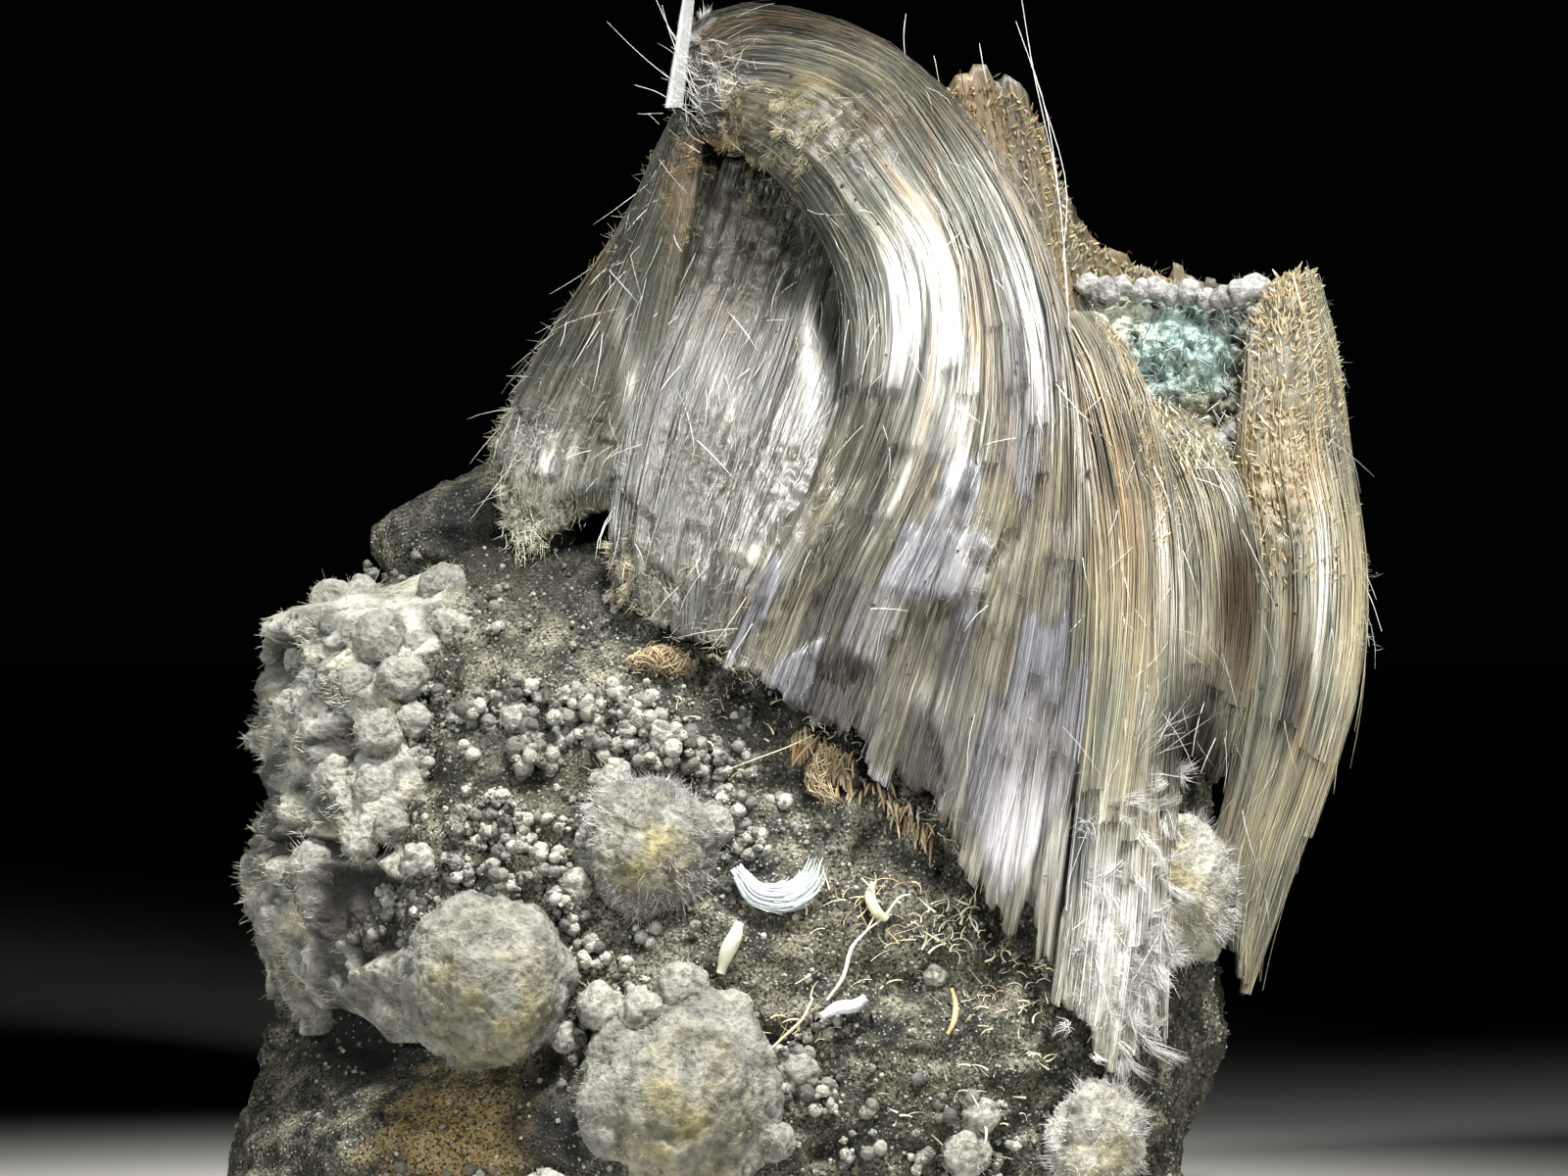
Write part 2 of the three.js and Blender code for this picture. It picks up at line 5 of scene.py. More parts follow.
import bmesh
import bpy
import numpy as np
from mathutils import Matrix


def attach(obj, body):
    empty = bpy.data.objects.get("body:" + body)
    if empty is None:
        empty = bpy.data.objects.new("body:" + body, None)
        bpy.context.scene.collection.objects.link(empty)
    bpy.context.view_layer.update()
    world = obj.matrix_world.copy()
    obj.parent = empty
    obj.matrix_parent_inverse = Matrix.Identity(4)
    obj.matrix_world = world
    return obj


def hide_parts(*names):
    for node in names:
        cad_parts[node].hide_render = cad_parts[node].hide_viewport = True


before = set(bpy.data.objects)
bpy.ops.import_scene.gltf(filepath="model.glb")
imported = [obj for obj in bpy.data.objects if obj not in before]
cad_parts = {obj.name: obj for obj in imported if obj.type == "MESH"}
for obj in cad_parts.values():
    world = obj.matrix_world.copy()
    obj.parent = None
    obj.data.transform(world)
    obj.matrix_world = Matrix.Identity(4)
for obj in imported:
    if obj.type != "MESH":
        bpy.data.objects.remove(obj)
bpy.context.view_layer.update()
mm = 0.001
print("frame loaded,", len(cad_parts), "solids")


# Repeatable irregularity, the same as in the CAD source

def scatter(a, b=0.0, c=0.0):
    s = np.sin(a * 127.1 + b * 311.7 + c * 74.7) * 43758.5453
    return (s - np.floor(s)) * 2 - 1


def lumps(x, y, z):
    x, y, z = np.broadcast_arrays(np.asarray(x, float), np.asarray(y, float), np.asarray(z, float))
    cell = [np.floor(v) for v in (x, y, z)]
    ease = [(v - c) ** 2 * (3 - 2 * (v - c)) for v, c in zip((x, y, z), cell)]
    total = np.zeros(x.shape)
    for corner in range(8):
        bits = [corner & 1, (corner >> 1) & 1, (corner >> 2) & 1]
        share = 1.0
        for bit, e in zip(bits, ease):
            share = share * (e if bit else 1 - e)
        total += share * scatter(cell[0] + bits[0], cell[1] + bits[1], cell[2] + bits[2])
    return total


def lumpsAt(points, size, shift=0):
    # the lumps at points, in cells of a size in millimetres
    return lumps(*np.moveaxis(points / np.asarray(size) + shift, -1, 0))


def knobs(p, size, seed=0.0):
    # rounded bumps packed at random, height from 0 to 1
    q = p / size
    cell = np.floor(q)
    nearest = np.full(q.shape[:-1], 9.0)
    for k in range(27):
        a, b, c = [cell[..., i] + step for i, step in enumerate((k % 3 - 1, k // 3 % 3 - 1, k // 9 - 1))]
        shift = [scatter(a, b, c + seed), scatter(b, c, a + seed + 3), scatter(c, a, b + seed + 7)]
        shift = np.stack(shift, -1)
        centre = np.stack([a, b, c], -1) + 0.5 + 0.42 * shift
        nearest = np.minimum(nearest, ((q - centre) ** 2).sum(-1))
    return np.sqrt(np.clip(1 - nearest / 0.6, 0, 1))


def unit(vectors):
    # vectors brought to length 1
    return vectors / (np.linalg.norm(vectors, axis=-1, keepdims=True) + 1e-9)


def near(points, x, z, wide, tall, lean=0):
    # 1 at a place on the front, fading away from it; a lean slants the place
    above = points[..., 2] - z
    return np.exp(-(((points[..., 0] - x + lean * above) / wide) ** 2) - (above / tall) ** 2)


def blended(tones, colour, share):
    # tones moved towards a colour by each point's share
    return tones + (colour - tones) * share[..., None]


def curveWeights(t, n):
    t = np.asarray(t, float).ravel()
    s = np.clip(t, 0, 1) * (n - 1)
    i = np.minimum(s.astype(int), n - 2)
    f = s - i
    four = [
        (-f + 2 * f * f - f ** 3) / 2,
        (2 - 5 * f * f + 3 * f ** 3) / 2,
        (f + 4 * f * f - 3 * f ** 3) / 2,
        (-f * f + f ** 3) / 2,
    ]
    table = np.zeros((len(t), n))
    rows = np.arange(len(t))
    for k, value in enumerate(four):
        at = i - 1 + k
        inside = (at >= 0) & (at < n)
        table[rows[inside], at[inside]] += value[inside]
        low, high = at < 0, at >= n
        table[rows[low], 0] += 2 * value[low]
        table[rows[low], 1] -= value[low]
        table[rows[high], n - 1] += 2 * value[high]
        table[rows[high], n - 2] -= value[high]
    return table


def alongList(values, t):
    return (curveWeights(t, len(values)) @ np.array(values, float)).reshape(np.shape(t))


def tone(code):
    # a screen colour code as linear red, green, blue
    parts = [int(code[i:i + 2], 16) / 255 for i in (1, 3, 5)]
    return np.array([v / 12.92 if v <= 0.04045 else ((v + 0.055) / 1.055) ** 2.4 for v in parts])


palette = {
    "white": tone("#f4f2ec"),
    "silk": tone("#d3d3ba"),
    "lilac": tone("#c9c9d2"),
    "grey": tone("#a3a48c"),
    "dim": tone("#73745c"),
    "cream": tone("#d6cba8"),
    "tan": tone("#c9a877"),
    "ochre": tone("#a87e44"),
    "brown": tone("#5e4930"),
    "teal": tone("#bfe0d9"),
    "olive": tone("#807d5a"),
    "dirt": tone("#40362a"),
    "bead": tone("#8d8b80"),
    "puff": tone("#b1b0a4"),
    "yolk": tone("#b6ab74"),
}


# Nodes: arithmetic on a Wire adds Math nodes

class Wire:
    def __init__(self, recipe, socket):
        self.recipe, self.socket = recipe, socket

    def maths(self, operation, *others, **settings):
        return self.recipe.node("ShaderNodeMath", {"operation": operation, **settings}, (self, *others))

    def __add__(self, other):
        return self.maths("ADD", other)

    def __sub__(self, other):
        return self.maths("SUBTRACT", other)

    def __mul__(self, other):
        return self.maths("MULTIPLY", other)

    def __truediv__(self, other):
        return self.maths("DIVIDE", other)

    def __pow__(self, other):
        return self.maths("POWER", other)

    def __rsub__(self, other):
        return self.recipe.node("ShaderNodeMath", {"operation": "SUBTRACT"}, (other, self))

    def clamped(self):
        return self.maths("ADD", 0.0, use_clamp=True)

    __radd__ = __add__
    __rmul__ = __mul__


class Recipe:
    def __init__(self, tree):
        self.tree = tree

    def node(self, kind, settings=None, values=(), output=0):
        made = self.tree.nodes.new(kind)
        for key, value in (settings or {}).items():
            if key == "stops":
                while len(made.color_ramp.elements) < len(value):
                    made.color_ramp.elements.new(0.5)
                for element, (at, colour) in zip(made.color_ramp.elements, value):
                    element.position = at
                    element.color = (*colour, 1)
            else:
                setattr(made, key, value)
        pairs = values.items() if isinstance(values, dict) else enumerate(values)
        for key, value in pairs:
            if isinstance(value, Wire):
                self.tree.links.new(value.socket, made.inputs[key])
            else:
                made.inputs[key].default_value = value
        return Wire(self, made.outputs[output])

    def mix(self, factor, a, b):
        full = [v if isinstance(v, Wire) else (*v, 1) for v in (a, b)]
        return self.node("ShaderNodeMix", {"data_type": "RGBA"}, {0: factor, 6: full[0], 7: full[1]}, 2)

    def shaded(self, colour, factor):
        # a colour multiplied by a grey factor
        grey = self.node("ShaderNodeCombineColor", None, (factor, factor, factor))
        settings = {"data_type": "RGBA", "blend_type": "MULTIPLY"}
        return self.node("ShaderNodeMix", settings, {0: 1.0, 6: colour, 7: grey}, 2)

    def ramp(self, factor, *stops):
        return self.node("ShaderNodeValToRGB", {"stops": stops}, (factor,))

    def noise(self, vector, size, detail=3.0, rough=0.55):
        values = {"Vector": vector, "Scale": 1 / (size * mm), "Detail": detail, "Roughness": rough}
        return self.node("ShaderNodeTexNoise", None, values)

    def cells(self, vector, size):
        return self.node("ShaderNodeTexVoronoi", None, {"Vector": vector, "Scale": 1 / (size * mm)})

    def place(self):
        return self.node("ShaderNodeTexCoord", None, (), 3)

    def bump(self, height, distance, strength=1.0):
        values = {"Height": height, "Distance": distance * mm, "Strength": strength}
        return self.node("ShaderNodeBump", None, values)


def material(name, make, constants):
    made = bpy.data.materials.new(name)
    made.use_nodes = True
    made.node_tree.nodes.clear()
    recipe = Recipe(made.node_tree)
    surface = recipe.node("ShaderNodeBsdfPrincipled", None, {**constants, **make(recipe)})
    out = made.node_tree.nodes.new("ShaderNodeOutputMaterial")
    made.node_tree.links.new(surface.socket, out.inputs["Surface"])
    return made


# A rusty patch on the rock: x, z, half width, half height
rustyPatch = [-15.8, 4.6, 4.6, 3.6]

# Painted shade on the rock, in its hollows, under overhangs and between the beads, as the front shows them:
# x, z, half width, half height, strength
paintedShadePlaces = [
    [-21.2, 9.6, 3.4, 2.4, 0.97], [-11.6, 5.4, 2.4, 2.6, 0.85], [-9.5, 34, 8, 3.6, 0.65],
    [1, 25.6, 5, 1.8, 0.6], [-9.5, 25, 7, 1.8, 0.5], [-16, 36, 4, 4, 0.5],
    [5, 4, 9, 4, 0.35], [-14, 22.8, 4, 1, 0.5],
]


def stoneLook(r):
    at = r.place()
    split = r.node("ShaderNodeSeparateXYZ", None, (at,))
    x, z = split, Wire(r, split.socket.node.outputs[2])

    def farFrom(cx, cz, w, h):
        aside, above = (x / mm - cx) / w, (z / mm - cz) / h
        return aside * aside + above * above

    middle = r.noise(at, 1.6, 5, 0.62)
    base = r.ramp(middle, (0.36, tone("#191915")), (0.5, tone("#403f34")), (0.66, tone("#716e5e")))
    patch = ((1.2 - farFrom(*rustyPatch)) * 1.1 + (middle - 0.5) * 4.2).clamped()
    rusty = r.mix(patch * 0.6, base, tone("#8a7443"))
    rust = ((r.noise(at, 9, 4) - 0.56) * 5).clamped()
    rusty = r.mix(rust * 0.3, rusty, tone("#6b6040"))
    speck = (1 - r.cells(at, 0.26) / 0.36).clamped() * ((r.noise(at, 0.9, 2) - 0.36) * 5).clamped()
    freckled = r.mix(speck * 0.8, rusty, tone("#cfccbf"))
    dust = (1 - r.cells(at, 0.15) / 0.3).clamped() * ((r.noise(at, 2.6, 2) - 0.4) * 5).clamped()
    dusted = r.mix(dust * 0.7, freckled, tone("#bfbdb2"))
    fine = r.noise(at, 0.16, 2)
    grainAndPaintedShade = (fine * 5.4 - 1.9).clamped()
    # painted shade: the rock's grain darkened in its hollows and under overhangs
    for *place, strength in paintedShadePlaces:
        grainAndPaintedShade = grainAndPaintedShade * (1 - (1.3 - farFrom(*place) + (middle - 0.5) * 2).clamped() * strength)
    bump = r.bump(fine * 0.5 + middle * 0.6 + speck * 0.5 + dust * 0.4, 0.24, 1.0)
    return {"Base Color": r.shaded(dusted, grainAndPaintedShade), "Roughness": 0.5 + fine * 0.5, "Normal": bump}


def hairLook(r):
    painted = r.node("ShaderNodeAttribute", {"attribute_name": "hairTone"})
    streak = r.noise(r.place(), 0.5, 2)
    return {"Base Color": r.shaded(painted, 0.78 + streak * 0.44)}


def coreLook(r):
    painted = r.node("ShaderNodeAttribute", {"attribute_name": "hairTone"})
    along = r.node("ShaderNodeUVMap", {"uv_map": "flow"})
    stretched = r.node("ShaderNodeMapping", None, {"Vector": along, "Scale": (1, 0.07, 1)})
    streak = r.node("ShaderNodeTexNoise", None, {"Vector": stretched, "Scale": 300.0, "Detail": 4.0})
    wide = r.node("ShaderNodeTexNoise", None, {"Vector": stretched, "Scale": 80.0, "Detail": 3.0})
    level = (streak * 1.5 + wide * 0.7 - 0.22).clamped()
    bump = r.bump(streak + wide, 0.1, 0.8)
    return {"Base Color": r.shaded(painted, level), "Roughness": 0.22 + wide * 0.34, "Normal": bump}


def crustLook(r):
    painted = r.node("ShaderNodeAttribute", {"attribute_name": "hairTone"})
    at = r.place()
    fine = r.noise(at, 0.14, 3, 0.7)
    pore = r.cells(at, 0.32)
    level = 0.3 + fine * 0.95 + pore * 0.5
    bump = r.bump(fine + pore * 0.8, 0.16, 1.0)
    return {"Base Color": r.shaded(painted, level), "Roughness": 0.6 + fine * 0.4, "Normal": bump}


def glassLook(r):
    fine = r.noise(r.place(), 0.5, 2)
    return {"Roughness": 0.08 + fine * 0.25, "Normal": r.bump(fine, 0.05, 0.5)}


looks = {
    "stone": material("hostStone", stoneLook, {"Specular IOR Level": 0.2}),
    "hair": material("silkyHair", hairLook, {"Roughness": 0.3, "IOR": 1.48, "Transmission Weight": 0.22,
                                              "Specular IOR Level": 0.75}),
    "fuzz": material("fineFuzz", hairLook, {"Roughness": 0.5, "IOR": 1.48, "Transmission Weight": 0.12}),
    "core": material("packedFibre", coreLook, {"IOR": 1.48, "Specular IOR Level": 0.7}),
    "crust": material("bumpyCrust", crustLook, {"Specular IOR Level": 0.4}),
    "glass": material("clearBlade", glassLook, {"Base Color": (0.93, 0.95, 0.93, 1), "IOR": 1.48,
                                                "Transmission Weight": 0.75}),
}
print("materials made,", len(looks))


# Meshes from arrays of points in millimetres

def pointMesh(name, points):
    mesh = bpy.data.meshes.new(name)
    mesh.vertices.add(points.size // 3)
    mesh.vertices.foreach_set("co", (points * mm).astype(np.float32).ravel())
    return mesh


def setTones(mesh, tones):
    full = np.concatenate([tones, np.ones((*tones.shape[:-1], 1))], -1).astype(np.float32)
    mesh.attributes.new("hairTone", "FLOAT_COLOR", "POINT").data.foreach_set("color", full.ravel())


def buildMesh(name, points, faceSets, tones=None, uv=None, smooth=True):
    mesh = pointMesh(name, points)
    corners = np.concatenate([faces.ravel() for faces in faceSets]).astype(np.int32)
    sizes = np.concatenate([np.full(len(faces), faces.shape[1]) for faces in faceSets])
    mesh.loops.add(len(corners))
    mesh.loops.foreach_set("vertex_index", corners)
    mesh.polygons.add(len(sizes))
    mesh.polygons.foreach_set("loop_start", np.concatenate([[0], np.cumsum(sizes)[:-1]]).astype(np.int32))
    mesh.polygons.foreach_set("use_smooth", np.full(len(sizes), smooth))
    mesh.update(calc_edges=True)
    if tones is not None:
        setTones(mesh, tones)
    if uv is not None:
        mesh.uv_layers.new(name="flow").data.foreach_set("uv", uv[corners].astype(np.float32).ravel())
    return mesh


def addPiece(name, mesh, look, nodes=()):
    if look is not None:
        mesh.materials.clear()
        mesh.materials.append(looks[look])
    piece = bpy.data.objects.new(name, mesh)
    bpy.context.scene.collection.objects.link(piece)
    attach(piece, "root")
    if nodes:
        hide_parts(*nodes)
    return piece


def quads(a, b, c, d):
    return np.stack([a.ravel(), b.ravel(), c.ravel(), d.ravel()], 1)


def tubeFaces(rows, columns, start=0, inward=False):
    # a tube of rings with a fan at each end; the two middle points follow the rings
    index = np.arange(rows * columns).reshape(rows, columns) + start
    after = np.roll(index, -1, 1)
    sides = quads(index[:-1], after[:-1], after[1:], index[1:])
    middle = np.full(columns, start + rows * columns)
    fans = [np.stack([after[0], index[0], middle], 1), np.stack([index[-1], after[-1], middle + 1], 1)]
    fans = np.concatenate(fans)
    return (sides[:, [0, 3, 2, 1]], fans[:, [1, 0, 2]]) if inward else (sides, fans)


backStep = 4  # the hidden side of a sheet has one row and column for four in front


def bothSides(front, back):
    back = back[::backStep, ::backStep]
    return np.concatenate([part.reshape(-1, *front.shape[2:]) for part in (front, back)])


def shellFaces(rows, columns):
    # a closed sheet between a front grid and its coarser back, rows downwards and columns to the right
    k = backStep
    f = np.arange(rows * columns).reshape(rows, columns)
    b = np.arange(((rows - 1) // k + 1) * ((columns - 1) // k + 1)) + rows * columns
    b = b.reshape((rows - 1) // k + 1, -1)
    sides = np.concatenate([
        quads(f[:-1, :-1], f[1:, :-1], f[1:, 1:], f[:-1, 1:]),
        quads(b[:-1, :-1], b[:-1, 1:], b[1:, 1:], b[1:, :-1]),
    ])

    def rim(fine, coarse):
        # one face from k short edges in front to a long one behind
        steps = [fine[i:len(fine) - k + i:k] for i in range(k)] + [fine[k::k]]
        return np.stack([*steps, coarse[1:], coarse[:-1]], 1)

    edges = [rim(f[0], b[0]), rim(f[-1], b[-1])[:, ::-1]]
    edges += [rim(f[:, 0], b[:, 0])[:, ::-1], rim(f[:, -1], b[:, -1])]
    return [sides, np.concatenate(edges)]


# Geometry Nodes: tubes that follow drawn paths, and grains on points

def geometryTree(name, inputs):
    tree = bpy.data.node_groups.new(name, "GeometryNodeTree")
    tree.interface.new_socket(name="Geometry", in_out="OUTPUT", socket_type="NodeSocketGeometry")
    sockets = {}
    for label, kind in {"Geometry": "NodeSocketGeometry", **inputs}.items():
        sockets[label] = tree.interface.new_socket(name=label, in_out="INPUT", socket_type=kind).identifier
    recipe = Recipe(tree)
    start = tree.nodes.new("NodeGroupInput")
    wires = {label: Wire(recipe, start.outputs[i]) for i, label in enumerate(sockets)}
    return tree, recipe, sockets, wires


def endTree(recipe, geometry, look):
    whole = recipe.node("GeometryNodeRealizeInstances", None, (geometry,))
    dressed = recipe.node("GeometryNodeSetMaterial", None, {"Geometry": whole, "Material": look})
    out = recipe.tree.nodes.new("NodeGroupOutput")
    recipe.tree.links.new(dressed.socket, out.inputs[0])


def hairTree():
    tree, r, sockets, wires = geometryTree("hairsOnPaths", {
        "Thickness": "NodeSocketFloat", "Sides": "NodeSocketInt", "Look": "NodeSocketMaterial"})
    width = r.node("GeometryNodeInputNamedAttribute", {"data_type": "FLOAT"}, ("hairWidth",))
    curve = r.node("GeometryNodeMeshToCurve", None, (wires["Geometry"],))
    ring = r.node("GeometryNodeCurvePrimitiveCircle", None,
                  {"Resolution": wires["Sides"], "Radius": wires["Thickness"]})
    tube = r.node("GeometryNodeCurveToMesh", None,
                  {"Curve": curve, "Profile Curve": ring, "Scale": width, "Fill Caps": True})
    smooth = r.node("GeometryNodeSetShadeSmooth", None, (tube,))
    endTree(r, smooth, wires["Look"])
    return tree, sockets


def grainTree():
    tree, r, sockets, wires = geometryTree("grainsOnPoints", {
        "Round": "NodeSocketBool", "Segments": "NodeSocketInt", "Rings": "NodeSocketInt",
        "Seed": "NodeSocketInt", "Look": "NodeSocketMaterial"})
    size = r.node("GeometryNodeInputNamedAttribute", {"data_type": "FLOAT_VECTOR"}, ("grainSize",))
    ball = r.node("GeometryNodeMeshUVSphere", None, {"Segments": wires["Segments"], "Rings": wires["Rings"]})
    chip = r.node("GeometryNodeMeshCube", None, {"Size": (1.5, 1.5, 1.5)})
    shape = r.node("GeometryNodeSwitch", {"input_type": "GEOMETRY"},
                   {"Switch": wires["Round"], "False": chip, "True": ball})
    spin = r.node("FunctionNodeRandomValue", {"data_type": "FLOAT_VECTOR"},
                  {0: (0, 0, 0), 1: (6.28, 6.28, 6.28), "Seed": wires["Seed"]})
    turn = r.node("FunctionNodeEulerToRotation", None, (spin,))
    grains = r.node("GeometryNodeInstanceOnPoints", None,
                    {"Points": wires["Geometry"], "Instance": shape, "Rotation": turn, "Scale": size})
    whole = r.node("GeometryNodeRealizeInstances", None, (grains,))
    smooth = r.node("GeometryNodeSetShadeSmooth", None, {"Geometry": whole, "Shade Smooth": wires["Round"]})
    endTree(r, smooth, wires["Look"])
    return tree, sockets


trees = {"hair": hairTree(), "grain": grainTree()}


def grownMesh(name, mesh, kind, values):
    # the plain mesh that a tree grows on a carrier mesh
    tree, sockets = trees[kind]
    carrier = bpy.data.objects.new(name + "Carrier", mesh)
    bpy.context.scene.collection.objects.link(carrier)
    modifier = carrier.modifiers.new("grow", "NODES")
    modifier.node_group = tree
    for label, value in values.items():
        modifier[sockets[label]] = value
    graph = bpy.context.evaluated_depsgraph_get()
    grown = bpy.data.meshes.new_from_object(carrier.evaluated_get(graph), preserve_all_data_layers=True,
                                            depsgraph=graph)
    bpy.data.objects.remove(carrier)
    bpy.data.meshes.remove(mesh)
    grown.name = name
    return grown


def addHairs(name, paths, widths, tones, nodes=(), look="fuzz", sides=3):
    # paths: hairs x points x 3; widths: radii, hairs x points; tones: one for each hair or for each point
    count, points = paths.shape[:2]
    mesh = pointMesh(name, paths)
    index = np.arange(count * points).reshape(count, points)
    edges = np.stack([index[:, :-1].ravel(), index[:, 1:].ravel()], 1).astype(np.int32)
    mesh.edges.add(len(edges))
    mesh.edges.foreach_set("vertices", edges.ravel())
    radii = (widths * mm).astype(np.float32).ravel()
    mesh.attributes.new("hairWidth", "FLOAT", "POINT").data.foreach_set("value", radii)
    setTones(mesh, np.broadcast_to(tones, paths.shape))
    grown = grownMesh(name, mesh, "hair", {"Thickness": 1.0, "Sides": sides, "Look": looks[look]})
    addPiece(name, grown, None, nodes)


def addGrains(name, points, sizes, tones, nodes=(), smoothRound=True, seed=1):
    mesh = pointMesh(name, points)
    rng = np.random.default_rng(seed)
    stretch = sizes[:, None] * mm * rng.uniform(0.8, 1.15, (len(points), 3))
    mesh.attributes.new("grainSize", "FLOAT_VECTOR", "POINT").data.foreach_set(
        "vector", stretch.astype(np.float32).ravel())
    setTones(mesh, np.clip(tones, 0, 1))
    large = sizes.mean() > 0.15
    values = {"Round": smoothRound, "Segments": 8 if large else 5, "Rings": 4 if large else 3, "Seed": seed}
    grown = grownMesh(name, mesh, "grain", {**values, "Look": looks["crust"]})
    addPiece(name, grown, None, nodes)


def strands(foot, way, size, points, bend=0):
    # hairs from their feet along their ways; a bend, in hair lengths, grows with the square of the way along
    s = np.linspace(0, 1, points)[None, :, None]
    return foot[:, None] + (way[:, None] * s + bend * s * s) * size[:, None]


def tapered(rng, count, thin, thick, taper):
    # radii from thin to thick, times the taper along each hair
    return rng.uniform(thin, thick, (count, 1)) * np.array([taper])


def dimmed(rng, count, colour, low, high):
    # a colour at each hair's own brightness
    return colour * rng.uniform(low, high, (count, 1, 1))


def towardsCream(rng, count, name):
    # a palette colour mixed with cream by each hair's own share
    return palette[name] + (palette["cream"] - palette[name]) * rng.random((count, 1, 1))


# Host rock

rock = {
    "centre": (-3, 0),
    "squareness": 2.7,
    "lumpSize": 7,
    "lumpHeight": 1.5,
    # height, left, right, front, back
    "tiers": [
        [0, -27, 20, -19, 16],
        [4, -26.6, 20.4, -19.6, 16.5],
        [9, -25, 22.2, -19, 17],
        [15, -25, 21.5, -17.5, 17],
        [21, -25.2, 21, -15.5, 16.5],
        [27.7, -23.8, 20.5, -12, 16],
        [30.5, -23.2, 20, -9.8, 15],
        [33.2, -17.4, 19, -6.4, 14],
        [36, -11, 16, -1.5, 12],
    ],
    # x, z, half width, half height, depth
    "dents": [
        [-19, 9.5, 5.5, 2.4, -4.5],
        [-17, 4.5, 6, 2, 1.5],
        [-6, 22.2, 5, 0.9, -1.6],
        [8, 12.5, 6, 1.1, -1.4],
        [9.5, 3, 1.8, 1.8, -2],
        [-11, 29, 5, 3, 1.4],
        [-26, 13, 3, 2.5, -1.6],
    ],
    # x, low z, high z, front y, back y
    "ledge": [
        [-21.2, 33.6, 35, 2.5, 5],
        [-18.5, 31, 37, 0.5, 8],
        [-15, 31, 38.6, 0, 10],
        [-11, 32, 38.4, 0.5, 11],
        [-7, 32, 37.6, 1.5, 11],
    ],
    "backColumns": 120,
    "frontColumns": 250,
    "wallRows": 180,
    "topRows": 26,
}


def outward(turn):
    # the way out of the rock at a turn from 0 to 1
    angle = np.asarray(turn) * 2 * np.pi
    return np.stack([np.cos(angle), np.sin(angle), 0 * angle], -1)


def rockSkin(turn, z, out=0.0):
    turn, z = np.broadcast_arrays(np.asarray(turn, float), np.asarray(z, float))
    c, s = np.cos(turn * 2 * np.pi), np.sin(turn * 2 * np.pi)
    heights, left, right, front, back = np.array(rock["tiers"], float).T
    cx, cy = rock["centre"]
    side = np.abs(np.where(c > 0, np.interp(z, heights, right), np.interp(z, heights, left)) - cx)
    depth = np.abs(np.where(s < 0, np.interp(z, heights, front), np.interp(z, heights, back)) - cy)
    n = rock["squareness"]
    reach = (np.abs(c / side) ** n + np.abs(s / depth) ** n) ** (-1 / n)
    x, y = cx + c * reach, cy + s * reach
    size, high = rock["lumpSize"], rock["lumpHeight"]
    lift = high * lumps(x / size, y / size, z / size + 5) + 0.5 * high * lumps(x / 3, y / 3, z / 3 + 9)
    for dx, dz, w, h, d in rock["dents"]:
        lift = lift + np.where(s < 0, d * np.exp(-(((x - dx) / w) ** 2) - ((z - dz) / h) ** 2), 0)
    return np.stack([x + c * (lift + out), y + s * (lift + out), z], -1)


def rockFront(x, z):
    # y of the rock's front face
    x, z = np.broadcast_arrays(np.asarray(x, float), np.asarray(z, float))
    cx = rock["centre"][0]
    low, high = np.where(x > cx, 1.0, 0.5), np.full(x.shape, 0.75)
    for _ in range(22):
        middle = (low + high) / 2
        beyond = (rockSkin(middle, z)[..., 0] - x) * np.where(x > cx, 1, -1) > 0
        low, high = np.where(beyond, middle, low), np.where(beyond, high, middle)
    return rockSkin((low + high) / 2, z)[..., 1]


def rockRelief(p):
    # broken edges and pits finer than the CAD lumps
    ridge = 0.55 - np.abs(lumpsAt(p, (2.1, 2.1, 1.5), (0, 0, 3))) * 1.3
    return 0.5 * ridge + 0.2 * lumpsAt(p, (0.7, 0.7, 0.6)) + 0.1 * lumpsAt(p, 0.3, (0, 0, 4))


